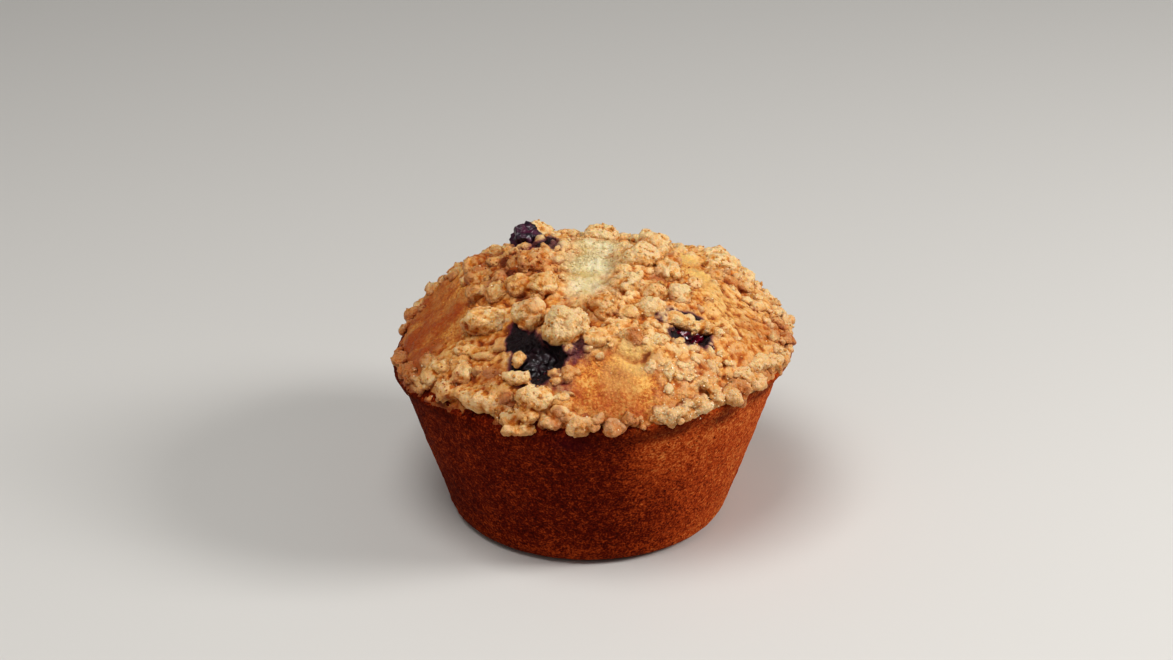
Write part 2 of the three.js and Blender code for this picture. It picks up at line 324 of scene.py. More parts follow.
# Broken pieces: balls with flats knocked onto them, and then dented. Lengths are shares of the radius.
nuggets = {
    "flats": 7,
    "flatsAt": (0.62, 0.95),  # how far from the middle
    "sharpest": 0.05,
    "swell": 1.08,
    "dents": 1.2,  # how many to a radius
    "smallDents": 0.45,  # their size beside that of the dents
    "smallDepth": 0.5,  # and their depth
}


def makeNuggets(places, halfSizes, turns, subdivisions, unevenness):
    ball, faces = ballOf(subdivisions)
    count = len(places)
    shape = np.ones((count, len(ball)))
    for _ in range(nuggets["flats"]):
        flat = unit(random.normal(size=(count, 3)))
        off = draw(*nuggets["flatsAt"], (count, 1))
        shape = np.minimum(shape, off / np.maximum(flat @ ball.T, nuggets["sharpest"]))
    place = (ball * nuggets["dents"] + draw(0, 500, (count, 1, 3))).reshape(-1, 3)
    dents = softNoise(place, 1.0) + nuggets["smallDepth"] * softNoise(place, nuggets["smallDents"], 3)
    shape = shape * (nuggets["swell"] + unevenness * dents.reshape(count, -1))
    shape = shape[:, :, None] * ball * halfSizes[:, None, :]
    points = np.einsum("nij,nvj->nvi", turns, shape) + places[:, None, :]
    allFaces = faces + np.arange(count)[:, None, None] * len(ball)
    return points.reshape(-1, 3), allFaces.reshape(-1, 3)


def joined(parts):
    # several meshes as one
    start, points, faces = 0, [], []
    for partPoints, partFaces in parts:
        points.append(partPoints)
        faces.append(partFaces + start)
        start += len(partPoints)
    return np.concatenate(points), np.concatenate(faces)


def meshFrom(name, points, faces):
    mesh = bpy.data.meshes.new(name)
    mesh.vertices.add(len(points))
    mesh.vertices.foreach_set("co", points.astype(np.float32).ravel())
    mesh.loops.add(faces.size)
    mesh.loops.foreach_set("vertex_index", faces.astype(np.int32).ravel())
    mesh.polygons.add(len(faces))
    mesh.polygons.foreach_set("loop_start", np.arange(0, faces.size, faces.shape[1], dtype=np.int32))
    mesh.update(calc_edges=True)
    return mesh


def addObject(name, data):
    obj = bpy.data.objects.new(name, data)
    bpy.context.scene.collection.objects.link(obj)
    return obj


def fused(points, faces, voxel):
    # overlapping closed shells become one skin of even four-sided faces
    obj = addObject("fusing", meshFrom("fusing", points, faces))
    remesh = obj.modifiers.new("fuse", "REMESH")
    remesh.mode = "VOXEL"
    remesh.voxel_size = voxel
    evaluated = obj.evaluated_get(bpy.context.evaluated_depsgraph_get())
    mesh = evaluated.to_mesh()
    fusedPoints = np.zeros(len(mesh.vertices) * 3)
    mesh.vertices.foreach_get("co", fusedPoints)
    corners = np.zeros(len(mesh.loops), np.int32)
    mesh.loops.foreach_get("vertex_index", corners)
    evaluated.to_mesh_clear()
    bpy.data.objects.remove(obj)
    return fusedPoints.reshape(-1, 3), corners.reshape(-1, 4)


def addPiece(name, points, faces, material, layers, replaced=(), smooth=True):
    # layers are the painted masks that the material reads, one number for each point or one for all
    mesh = meshFrom(name, (points + cupAxis) * mm, faces)
    for layer, values in layers.items():
        attribute = mesh.attributes.new(layer, "FLOAT", "POINT")
        values = np.broadcast_to(np.clip(values, 0, 1), len(points))
        attribute.data.foreach_set("value", values.astype(np.float32))
    mesh.materials.append(material)
    mesh.polygons.foreach_set("use_smooth", np.full(len(faces), smooth))
    mesh.validate()
    obj = addObject(name, mesh)
    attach(obj, "root")
    if replaced:
        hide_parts(*replaced)
    print(name, "made with", (faces.shape[1] - 2) * len(faces), "triangles")


def toLinear(hexColour):
    parts = [int(hexColour[i:i + 2], 16) / 255 for i in (1, 3, 5)]
    return [c / 12.92 if c <= 0.04045 else ((c + 0.055) / 1.055) ** 2.4 for c in parts] + [1.0]


def addNode(tree, kind, settings, links):
    # one node with its settings; an input is linked to another node's output or set to a value
    node = tree.nodes.new(kind)
    for key, value in settings.items():
        setattr(node, key, value)
    for place, source in links.items():
        if isinstance(source, bpy.types.NodeSocket):
            tree.links.new(source, node.inputs[place])
        else:
            node.inputs[place].default_value = source
    return node


def startMaterial(name):
    material = bpy.data.materials.new(name)
    material.use_nodes = True
    tree = material.node_tree
    tree.nodes.clear()
    return material, tree, addNode(tree, "ShaderNodeTexCoord", {}, {}).outputs["Object"]


def finishMaterial(tree, inputs):
    shader = addNode(tree, "ShaderNodeBsdfPrincipled", {}, inputs)
    addNode(tree, "ShaderNodeOutputMaterial", {}, {"Surface": shader.outputs[0]})


def noiseOf(tree, place, sizeMm, detail, roughness=0.5):
    links = {"Vector": place, "Scale": 1 / (sizeMm * mm), "Detail": detail, "Roughness": roughness}
    return addNode(tree, "ShaderNodeTexNoise", {}, links).outputs["Fac"]


def cellsOf(tree, place, sizeMm):
    links = {"Vector": place, "Scale": 1 / (sizeMm * mm)}
    return addNode(tree, "ShaderNodeTexVoronoi", {}, links).outputs["Distance"]


def combined(tree, operation, *values):
    links = dict(enumerate(values))
    return addNode(tree, "ShaderNodeMath", {"operation": operation}, links).outputs[0]


def blended(tree, share, first, second):
    links = {0: share, 2: first, 3: second}
    return addNode(tree, "ShaderNodeMix", {"data_type": "FLOAT"}, links).outputs[0]


def rescaled(tree, value, *ends):
    # the first two of the ends become 0 and 1, or else the last two
    links = dict(zip(("From Min", "From Max", "To Min", "To Max"), ends))
    return addNode(tree, "ShaderNodeMapRange", {}, {"Value": value, **links}).outputs[0]


def rampOf(tree, value, stops):
    node = addNode(tree, "ShaderNodeValToRGB", {}, {"Fac": value})
    elements = node.color_ramp.elements
    for i, (place, colour) in enumerate(stops):
        element = elements[i] if i < len(elements) else elements.new(place)
        element.position = place
        element.color = toLinear(colour)
    return node.outputs["Color"]


def bumpOf(tree, height, distanceMm):
    links = {"Height": height, "Distance": distanceMm * mm, "Strength": 1.0}
    return addNode(tree, "ShaderNodeBump", {}, links).outputs["Normal"]


def maskOf(tree, layer):
    return addNode(tree, "ShaderNodeAttribute", {"attribute_name": layer}, {}).outputs["Fac"]


def paintOver(tree, colour, steps, made={}):
    # lays colours over one another. A step is a mask, the colour it brings, how strongly, and, where only
    # part of the mask counts, from and to which of its values. Names in made stand for outputs.
    for mask, shade, strength, *ends in steps:
        mask = made[mask] if mask in made else maskOf(tree, mask)
        shade = made[shade] if shade in made else toLinear(shade)
        amount = combined(tree, "MULTIPLY", rescaled(tree, mask, *ends) if ends else mask, strength)
        mix = addNode(tree, "ShaderNodeMix", {"data_type": "RGBA"}, {0: amount, 6: colour, 7: shade})
        colour = mix.outputs[2]
    return colour


# Sponge crust baked against the tin: dense, fine-pored, deep orange brown and nearly matt.
spongeCrust = {
    "grainMm": 0.5,
    "mottleMm": 1.5,
    "mottleShare": 0.4,
    "poreMm": 1.1,
    "poreSize": (0.3, 0.1),  # rim and floor, as shares of its cell
    "poreDepthMm": 0.2,
    "goldenAndLightShift": 0.29,
    "tones": [(0.37, "#400a03"), (0.52, "#621905"), (0.7, "#b04b1c"), (0.88, "#de8e4c")],
    # painted shade: the pores are darkened in their pits, and the top of the wall under the lip is darkened
    # as painted shadow; juice is a stain
    "paint": [("pores", "#3a1003", 0.5), ("shadeUnderLip", "#431002", 0.7), ("juice", "#470a12", 0.8)],
    "shader": {"Roughness": 0.85, "Specular IOR Level": 0.06, "IOR": 1.45},
}


def makeSpongeCrust():
    material, tree, place = startMaterial("bakedSpongeCrust")
    grain = noiseOf(tree, place, spongeCrust["grainMm"], 2.0, 0.6)
    mottle = noiseOf(tree, place, spongeCrust["mottleMm"], 4.0, 0.6)
    pores = rescaled(tree, cellsOf(tree, place, spongeCrust["poreMm"]), *spongeCrust["poreSize"])
    # the grain carries most of the colour, the mottling and the golden mask, painted light at the right and
    # back, shift it broadly
    blend = blended(tree, spongeCrust["mottleShare"], grain, mottle)
    level = combined(tree, "MULTIPLY_ADD", maskOf(tree, "goldenAndLight"), spongeCrust["goldenAndLightShift"], blend)
    tone = rampOf(tree, level, spongeCrust["tones"])
    colour = paintOver(tree, tone, spongeCrust["paint"], {"pores": pores})
    bump = bumpOf(tree, combined(tree, "SUBTRACT", grain, pores), spongeCrust["poreDepthMm"])
    finishMaterial(tree, {"Base Color": colour, "Normal": bump, **spongeCrust["shader"]})
    return material


# Butter crumb: flour, sugar and butter baked to pebbles, brown through amber to cream, sandy, with a faint
# buttery gloss, browner in its folds, partly its own colour and partly painted shade, and lighter on the tops
# of its grains as a painted highlight. Juice dries purple at its edge, nearly black and shiny inside it.
butterCrumb = {
    "sandMm": 0.5,
    "mottleMm": 2.2,
    "mottleShare": 0.6,
    "mottleTone": (0.4, 0.6, -0.2, 0.22),
    "granuleMm": 0.8,
    "granuleDepth": -0.55,
    "reliefMm": 0.65,
    "tones": [(0.0, "#8c3806"), (0.25, "#b65a10"), (0.52, "#d6872a"), (0.8, "#ecb066"), (1.0, "#f2ce98")],
    # painted light among the paints: a painted highlight on the tops of grains, painted shade in creases, low
    # parts and gaps, and browning that is painted shade on the left flank
    "paint": [
        ("tipHighlight", "#f2d3a0", 0.35), ("pale", "#efe3b4", 0.8), ("toastAndShade", "#b4561c", 0.65),
        ("creviceShade", "#a84a0a", 0.8, 0.1, 0.6), ("creviceShade", "#5c1c04", 0.85, 0.45, 1.0),
        ("juice", "#6e2044", 0.85, 0.03, 0.4), ("juice", "#1a070d", 0.97, 0.32, 0.72),
    ],
    "wet": (0.6, 0.95, 0.42, 0.36),  # juice from and to, roughness dry and wet
    "shader": {"Specular IOR Level": 0.42, "IOR": 1.45, "Subsurface Radius": (1.0, 0.45, 0.16),
               "Subsurface Scale": 0.5 * mm},
}


def crumbColour(tree, place):
    # colour of crumb from its painted tone, and the height of its granules
    sand = noiseOf(tree, place, butterCrumb["sandMm"], 3.0, 0.7)
    granules = cellsOf(tree, place, butterCrumb["granuleMm"])
    height = combined(tree, "MULTIPLY_ADD", granules, butterCrumb["granuleDepth"], sand)
    mottle = noiseOf(tree, place, butterCrumb["mottleMm"], 3.0, 0.6)
    mixed = blended(tree, butterCrumb["mottleShare"], sand, mottle)
    shift = rescaled(tree, mixed, *butterCrumb["mottleTone"])
    level = combined(tree, "ADD", maskOf(tree, "tone"), shift)
    return rampOf(tree, level, butterCrumb["tones"]), height


def finishCrumb(tree, finish, tone, height, softness, made={}):
    # paints the masks over the tone; where juice soaked in, the surface shines
    finishMaterial(tree, {
        "Base Color": paintOver(tree, tone, finish["paint"], made),
        "Normal": bumpOf(tree, height, finish["reliefMm"]),
        "Roughness": rescaled(tree, maskOf(tree, "juice"), *finish["wet"]),
        "Subsurface Weight": softness, **finish["shader"]})


def makeButterCrumb(name, softness):
    # light gets some way into a lump, and not into its dust
    material, tree, place = startMaterial(name)
    finishCrumb(tree, butterCrumb, *crumbColour(tree, place), softness)
    return material


# Crust of the crown: butter-rich batter browned in open heat, golden with a satin sheen and a sandy grain.
crownCrust = {
    "grainMm": 0.6,
    "mottleMm": 5.0,
    "mottleShare": 0.5,
    "reliefMm": 0.5,
    "tones": [(0.41, "#b4591e"), (0.5, "#d88a38"), (0.59, "#eeb866")],
    "milk": [(0.35, "#cdb478"), (0.58, "#efe2ba")],
    # painted light among the paints: a painted highlight on the tops of grains, painted shade in creases and
    # gaps, painted shade on the crust under the lip, and browning that is painted shade on the left flank
    "paint": [
        ("covered", "crumb", 1.0), ("yolk", "#f2d183", 0.6), ("tipHighlight", "#eec890", 0.35),
        ("pale", "milky", 0.95), ("toastAndShade", "#a6430e", 0.85),
        ("creviceShade", "#aa500c", 0.8, 0.1, 0.6), ("creviceShade", "#642204", 0.85, 0.45, 1.0),
        ("shadeUnderLip", "#6a2208", 0.85),
        ("juice", "#6a1c3e", 0.85, 0.03, 0.4), ("juice", "#12060a", 0.97, 0.32, 0.72),
    ],
    "wet": (0.6, 0.95, 0.46, 0.36),
    "softness": 0.25,
    "shader": {"Specular IOR Level": 0.38, "IOR": 1.45, "Subsurface Radius": (1.0, 0.45, 0.16),
               "Subsurface Scale": 0.7 * mm},
}


def makeCrownCrust():
    material, tree, place = startMaterial("brownedCrownCrust")
    grain = noiseOf(tree, place, crownCrust["grainMm"], 3.0, 0.65)
    mottle = noiseOf(tree, place, crownCrust["mottleMm"], 4.0, 0.6)
    tone = rampOf(tree, blended(tree, crownCrust["mottleShare"], grain, mottle), crownCrust["tones"])
    crumb, height = crumbColour(tree, place)
    made = {"crumb": crumb, "milky": rampOf(tree, mottle, crownCrust["milk"])}
    finishCrumb(tree, crownCrust, tone, height, crownCrust["softness"], made)
    return material


# Colour that lies in spots, each with x, y, reach, strength: crumb and crust that took up the juice of a
# burst berry, browned further (on the left flank darker as painted shade), show the yellow of the batter, get
# painted shade in the gaps between lumps, or stayed pale.
spots = {
    "juice": [
        (-11.2, -30.2, 5.2, 1), (-6.6, -28.6, 3.6, 0.8), (-2.8, -28.2, 3.4, 0.5), (-15, -24.8, 3.3, 1),
        (-16.4, -22, 1.9, 0.7), (-6.6, -35.6, 3.4, 0.25), (-4.5, -25.6, 3, 0.5), (19.6, -23.4, 1.9, 0.8),
        (22.6, -24, 2.1, 0.9), (25.6, -23.2, 2, 0.85), (16.2, -19.4, 1.3, 0.6), (18.2, -17.6, 1.4, 0.75),
        (20.6, -16.9, 1.5, 0.8), (23.4, -17.2, 1.4, 0.75), (-14, 9, 5.8, 0.7), (-10.2, 5.6, 3, 0.8),
        (-8, 2.6, 2, 0.5),
    ],
    # browning, and on the left flank painted shade
    "toastAndShade": [
        (15.4, -8.2, 3, 0.9), (10, -26.8, 2.8, 0.85), (-12.8, -21.5, 3.6, 0.5), (-4.2, -34, 2.6, 0.5),
        (43, -9, 5, 0.5), (-41, -5, 9, 1), (-39, -15, 8, 1), (5.5, -38, 7, 0.4), (-33, -4, 9, 0.75),
        (-38, 8, 9, 0.8), (-27, -12, 6, 0.5), (-15, -4, 9, 0.45), (-23, 8, 5, 0.6), (6, -42, 9, 0.55),
        (-2, -38, 4, 0.4), (33, 6, 4, 0.4), (1.5, -20.5, 4, 0.35), (4, -13, 5, 0.2), (-24, -1.5, 2.4, 0.8),
        (-18.2, -37, 2.2, 0.6), (33, -31, 2.4, 0.6), (26, -31, 4, 0.3), (-29, -29, 1.8, 0.7),
        (44, -4, 4, 0.5), (-40.3, -17, 2.6, 0.6), (-7, -43.4, 2.6, 0.7), (-21.5, -30, 3, 0.6),
        (45.4, -7, 2.6, 0.8), (-12, 2, 4, 0.3), (-17.6, 7.2, 3, 0.5), (38, -12, 6, 0.3),
    ],
    "yolk": [
        (10, -30.5, 6, 0.9), (22, 8, 5, 1), (25, 1, 5, 1), (29, -4, 6, 0.7), (31, -10, 6, 0.4),
        (7, -34, 6, 0.5), (2, -27.5, 3.4, 0.6), (32, -12, 7, 0.4), (-17.6, 7.2, 3, 0.5), (8, -29, 4, 0.6),
    ],
    "shadedGaps": [
        (-18.3, 0.5, 3.2, 1), (-20.5, -9.3, 2.3, 0.9), (-9.9, -14.5, 2, 0.8), (-11.5, -8, 2.3, 0.9),
        (-16.6, -20.5, 2.6, 0.95), (-26, -13, 2.4, 0.5), (-14.6, -14.8, 2.6, 0.9), (-17.4, -6.5, 2.3, 1),
        (-21.6, 4.6, 2.4, 0.8), (-14.4, 1.6, 2.2, 0.8), (-22.4, -4.2, 1.8, 0.8),
    ],
    "pale": [(0, -10.5, 6.5, 0.95), (0.5, -3, 8.5, 1.0), (2, 5, 8, 0.9), (-3, -13.5, 3.5, 0.6)],
}


# A spot is full out to one share of its reach and gone at another, with a wavering edge: full, gone, how far
# the edge strays, and the size, layers and salt of its noise.
spotEdge = (0.4, 1, 1.2, 3.0, 2, 50)
juiceEdge = (0.5, 1.25, 1.7, 2.0, 4, 40)


def spotsAt(points, kind):
    full, gone, far, *noise = juiceEdge if kind == "juice" else spotEdge
    waver = far * layeredNoise(points, *noise)
    amount = np.zeros(len(points))
    for spotX, spotY, reach, strength in spots[kind]:
        distance = np.hypot(points[:, 0] - spotX, points[:, 1] - spotY) + waver
        amount = np.maximum(amount, strength * fadeOut(distance, full * reach, gone * reach))
    return amount


# Where crumb lies thick: x, y, reach, amount. Elsewhere it sank into the batter.
heaps = [
    (-18, -5, 12, 1), (-30, -25, 12, 1), (-12, -38, 11, 0.9), (6, -15, 11, 0.8), (13, -2, 10, 0.8),
    (10, 11, 11, 0.9), (-8, 13, 9, 0.7), (30, 13, 9, 0.8), (24, -39, 7, 0.5), (40, -22, 6, 0.5),
    (20, -3, 7, 0.6), (-30, 18, 14, 0.8), (0, 38, 16, 0.7), (26, 32, 14, 0.7),
]
thinCover = 0.3
thinCrumb = [(33, -13, 9, 13, 0.2), (24, 2, 4, 10, 0.37), (8, -31, 12, 4, 0.1)]  # x, y, half sizes, turn


def thinAt(x, y):
    # 1 where only fine crumb lies on the crust
    return np.max([fadeOut(reachIn(x, y, patch), 0.7, 1.15) for patch in thinCrumb], axis=0)


def heapAt(x, y):
    amount = thinCover + 0 * x
    for heapX, heapY, reach, more in heaps:
        amount = np.maximum(amount, more * mound(x, y, heapX, heapY, reach))
    return amount * (1 - 0.75 * thinAt(x, y))


# Broad shifts of the crumb's tone over the crown: x, y, reach, amount.
toneShifts = [(-17, -3, 11, -0.5), (-27, -28, 15, -0.34), (24, -30, 11, 0.22), (1, -2, 10, 0.2)]
middleTone = 0.54


def toneFieldAt(x, y):
    place = flatPlace(x, y)
    field = middleTone + 0.16 * softNoise(place, 11, 70) + 0.12 * softNoise(place, 4.5, 71)
    for shiftX, shiftY, reach, amount in toneShifts:
        field += amount * mound(x, y, shiftX, shiftY, reach)
    return field - 0.14 * np.maximum(smoothStep(x, 8, 30), smoothStep(y, 12, 28))


# Crumb topping. Placed lumps: x, y, lift, half long, half short, half high, turn, knobs (0 smooth to 1
# knobbly), tone (0 amber to 1 cream).
crumbLumps = {
    "placed": [
        (-22, -17.5, 0.8, 5.3, 3.7, 3.5, 0.15, 0, 0.7), (-12.8, -19.8, 1.7, 3.8, 3.8, 4.1, 0, 0.1, 0.55),
        (-6.8, -24.2, 1.4, 3, 4.2, 4.9, 0.1, 0.1, 0.75), (-5.1, -24.3, 1.9, 3.4, 4.2, 5, 0, 0.1, 0.85),
        (-3.4, -24.8, 1.3, 3.4, 4.4, 5, -0.2, 0.15, 0.85),
        (-14.8, -29.4, 0.8, 1.9, 1.8, 1.9, 0, 0.15, 0.45), (-3.9, -33.9, 0.1, 2.4, 1.8, 1.8, 0.2, 0.3, 0.3),
        (-15.8, -32.8, 0.2, 3.2, 1.8, 1.6, -0.55, 0.9, 0.8),
        (-5.8, -40.9, -0.1, 1.9, 1.7, 1.3, 0, 0.4, 0.6), (-6, -38.3, -0.3, 2.1, 1.9, 1.4, 0, 0.4, 0.4),
        (-7.9, -42.4, 0, 2.4, 1.7, 1.4, 0.3, 0.5, 0.6), (-17.4, -39.5, 0.1, 2.6, 2, 1.6, 0.1, 0.5, 0.6),
        (-13.3, -40, 0.2, 3, 2, 1.7, 0.2, 0.5, 0.5), (-15, -41.8, -0.2, 4, 1.5, 1.3, 0.25, 0.9, 0.6),
        (-17.8, -36.5, 0.6, 1.5, 1.3, 2.5, 0.4, 0, 0.1), (-21.2, -35.7, 0.2, 2.4, 1.9, 1.6, -0.4, 0.5, 0.8),
        (-24, -33.5, 0.2, 4.3, 2.6, 2.3, -0.55, 0.5, 0.75),
        (-30.9, -28, 0.1, 3.7, 2.6, 2.1, -0.7, 0.5, 0.6), (-26.9, -30.6, 0.1, 2.6, 2.1, 1.7, 0.4, 0.5, 0.5),
        (-35.1, -22.5, 0.1, 3, 2, 1.7, -0.9, 0.4, 0.7), (-36, -17.8, -0.1, 2.3, 2.3, 1.6, 0, 0.6, 0.5),
        (-32.3, -21.6, -0.2, 3.2, 2.9, 1.8, 0.4, 0.6, 0.6),
        (-27.3, -26.6, 0, 3.2, 2.8, 2.3, 0.9, 0.6, 0.65),
        (-23.2, -24.6, -0.1, 2.9, 2.3, 1.7, 0.1, 0.6, 0.5),
        (-26.6, -21.6, -0.1, 3, 2.4, 1.7, 0.2, 0.6, 0.5),
        (-19.4, -24.6, -0.2, 2.9, 1.9, 1.3, 0.1, 0.4, 0.35),
        (-21.5, -29.6, -0.4, 2.4, 1.5, 1.3, 0.1, 0.3, 0.15),
        (-22, -32.6, -0.7, 3.3, 2.6, 1.8, 0.3, 0.6, 0.35),
        (-11.5, -37.6, 0.2, 4.2, 3.7, 2.7, 0.2, 0.5, 0.65),
        (-42.6, -9.2, -0.2, 2.1, 1.8, 1.5, 1.3, 0.6, 0.5), (-40.3, -16, -0.2, 2.3, 1.9, 1.6, 0.9, 0.6, 0.4),
        (-1.6, -43.6, 0.1, 3.2, 2.7, 2.4, 0.2, 0.6, 0.55), (5.2, -44, -0.1, 2.7, 2.2, 2.1, 0, 0.6, 0.6),
        (-24.3, -1.6, 0.4, 3, 2.7, 2.6, 0.3, 0.8, 0.35), (-24.7, -6.4, 0.4, 2.8, 2.4, 2.3, 0.2, 0.8, 0.5),
        (-20.4, -10.2, 0.5, 2.6, 2.6, 2.7, 0.2, 0.6, 0.5), (-15.2, -10.8, 0.6, 3.2, 2.9, 3.2, 1, 0.8, 0.45),
        (-9.2, -11.5, 0.5, 3.5, 2.9, 2.9, 0.4, 0.9, 0.5), (-13, -4.1, 0.4, 3.2, 2.9, 2.9, 0.2, 0.8, 0.4),
        (-10.8, -1.8, 0.2, 2.5, 2.3, 2.2, 0.5, 0.7, 0.5), (-16.2, -2, 0.2, 2, 1.8, 1.8, 0.1, 0.6, 0.4),
        (-20.6, 2.4, 0.2, 2.5, 2.1, 1.9, 0.2, 0.3, 0.4), (-17.6, 7.2, 0.2, 2.4, 2, 1.8, 0.1, 0.2, 0.25),
        (-14.6, 5.6, 0.4, 2.1, 1.6, 1.7, 0.2, 0.3, 0.5), (-11, 6.6, 0.3, 1.8, 1.5, 1.6, 0.4, 0.3, 0.6),
        (-10.6, 11.8, 2.2, 3.1, 2.6, 1.9, 0, 0.3, 0.75), (-24, 7.5, 0, 5, 3.4, 2.2, 0.5, 0.1, 0.15),
        (3, 13.4, 0.2, 4.1, 3.5, 3, 0, 0.7, 0.65), (9.3, 12.6, -0.2, 3.6, 3, 2.3, 0.3, 0.5, 0.6),
        (14.8, 8, 0.9, 3.9, 3.3, 3.2, 0, 0.7, 0.6), (18.5, 9, -0.2, 2.2, 2, 1.8, 0.3, 0.5, 0.6),
        (11.9, -1.7, 0.5, 4.3, 3.6, 3.3, 0.5, 0.4, 0.6), (17.9, -4.7, 0.4, 3.7, 3.2, 2.8, 0.4, 0.4, 0.5),
        (20.7, -10.8, 0.3, 3.1, 2.8, 2.4, 0.1, 0.5, 0.7), (14.6, -12.3, 0.4, 3, 2.7, 2.6, 0.2, 0.6, 0.45),
        (8.4, -11.2, 0.2, 3.4, 3.1, 2.7, 0.7, 0.6, 0.65), (13.1, -17.2, 0.2, 3.5, 2.9, 2.4, 0.2, 0.4, 0.75),
        (9.3, -20, 0.2, 2.5, 2.4, 2, 0.1, 0.4, 0.5), (17.6, -16.6, -0.1, 2.3, 1.5, 1.2, 0.1, 0.3, 0.6),
        (3.4, -19, 0.3, 4.3, 3.5, 3.1, 0, 0.7, 0.35), (-1.5, -18.2, -0.2, 2.2, 2, 1.9, 0.6, 0.5, 0.4),
        (9.9, -26, -0.4, 3.2, 2.7, 2.1, 0.1, 0, 0.35), (2, -26.4, -0.3, 3.8, 3.1, 2.4, 0.2, 0.4, 0.5),
        (21.8, -19.2, 0.9, 1.6, 1.5, 1.5, 0, 0.1, 0.85), (19.4, -25.2, 0, 1.7, 1.2, 1.1, 0.2, 0.4, 0.7),
        (22.7, -25.9, 0, 2, 1.3, 1.2, 0, 0.4, 0.7), (26, -25, 0, 1.8, 1.2, 1.1, -0.3, 0.4, 0.65),
        (29, 15.5, -0.2, 4.2, 3.4, 2.6, 0, 0.5, 0.6), (30.3, 11.5, 0, 4.5, 3.4, 2.8, 0.3, 0.3, 0.65),
        (35.8, 10.5, -0.2, 3, 2.6, 2.2, 0.3, 0.4, 0.7), (41, 8.4, -0.2, 2.6, 2.2, 1.8, 0.3, 0.6, 0.7),
        (45.3, 4, 0, 1.9, 1.8, 1.7, 0, 0.5, 0.65), (45, -7, 0, 2.1, 1.9, 1.8, 0, 0.5, 0.3),
        (37.8, -22.3, -0.2, 3.4, 2.2, 1.7, 0.6, 0.5, 0.75), (41.4, -18.4, 0, 2.2, 1.9, 1.7, 0.3, 0.5, 0.6),
        (33.8, -27, -0.2, 2.7, 2.2, 1.7, 0.3, 0.5, 0.7), (37.6, -26.2, 0, 2.4, 1.9, 1.9, 0.8, 0.6, 0.6),
        (31, -32.5, 0.2, 3.4, 1.6, 2, -0.7, 0.3, 0.5), (23.7, -37.5, -0.7, 3.6, 2.7, 2, -0.4, 0.8, 0.8),
        (17, -41, -0.3, 3, 2.3, 1.9, -0.2, 0.8, 0.75), (20.2, -41.4, -0.5, 1.1, 0.9, 0.7, 0, 0.3, 0.7),
    ],
    "thrown": (80, (1.4, 2.5), 0.85, 0.97, 1.0),  # count, radii, crowding, reach, shyness of thin crumb
    "core": 0.92,  # the knobs stand out of a core this much smaller than the lump
    "voxelMm": 0.36,
    "swayMm": (3.4, 0.6),  # size, how far
    "grainMm": (1.8, 0.42),  # size, height
    "fineGrainMm": (1.1, 0.28),
    "sandMm": (0.8, 0.27),
    "stainMm": (0.3, 2.1),  # how high juice climbs: fully, at most
    "melt": 3,
}
bridge = {"x": (15.6, 28.6), "y": -19.3, "rise": 0.3, "mm": 1.4, "count": 30}
looseCrumbs = {
    "thrown": (300, (0.5, 1.4), 0.8, 0.985, 0.85),
    "soaked": [(-6, -27.5, 3.4, 2.0, 20), (-7, -34, 1.6, 1.6, 5)],  # x, y, spreads, count
    "lipCount": 300,
    "lipMm": (0.6, 1.9),
    "voxelMm": 0.3,
    "swayMm": (2.6, 0.7),
    "grainMm": (1.6, 0.36),
    "fineGrainMm": (0.95, 0.24),
    "sandMm": (0.7, 0.24),
    "stainMm": (0.9, 2.4),
    "melt": 2,
}
fineCrumbs = {"round": (450, 0.3, 0.55, 2), "tiny": (2600, 0.16, 0.32, 1)}  # count, radii, subdivisions
sugar = {"count": 500, "mm": (0.08, 0.15)}
creases = [  # arcs where the crust folded or cracked: x, y, radius, from, to (degrees), half width, depth
    (10, -25.5, 5.2, 215, 330, 0.6, 0.6),
    (33, -3, 7.5, 40, 125, 0.8, 0.8),
    (-34, -20, 11, 70, 130, 0.9, 0.6),
]
creaseEnd = 25  # degrees over which a crease runs out


def creaseDepthAt(x, y):
    depth = np.zeros_like(x)
    for centreX, centreY, radius, start, end, halfWidth, deep in creases:
        angle = np.degrees(np.arctan2(y - centreY, x - centreX)) % 360
        along = smoothStep(angle, start, start + creaseEnd) * fadeOut(angle, end - creaseEnd, end)
        off = (np.hypot(x - centreX, y - centreY) - radius) / halfWidth
        depth = np.maximum(depth, deep * along * np.exp(-off ** 2))
    return depth


# Places where little or no crumb was thrown, round the top berry, in wet gaps and so that some lumps stand
# clear: x, y, half sizes, turn, share kept away. The hollows and a rim round them are kept clear too.
clearings = [
    (-14, 10, 4.6, 4.6, 0, 1), (-3.6, -28.6, 3, 3, 0, 1), (-15.6, -24.6, 2, 2, 0, 1),
    (22.6, -23.2, 3, 3, 0, 1), (-21.5, -17.6, 9, 6.2, 0.15, 1), (-27.5, -12, 5, 7, 0.5, 1),
    (-8.5, -22, 10, 7, 0, 1), (-28.5, -26.5, 11, 8, -0.75, 0.7), (-17, -35, 9, 7, -0.3, 0.6),
]
clearings += [(x, y, halfX + 0.6, halfY + 0.3, 0, 1) for x, y, _, (halfX, halfY, _) in hollows.values()]


triesEach = 60  # thrown for each crumb that may stay
palest = 0.35  # no crumb lies where the pale batter shows more than this


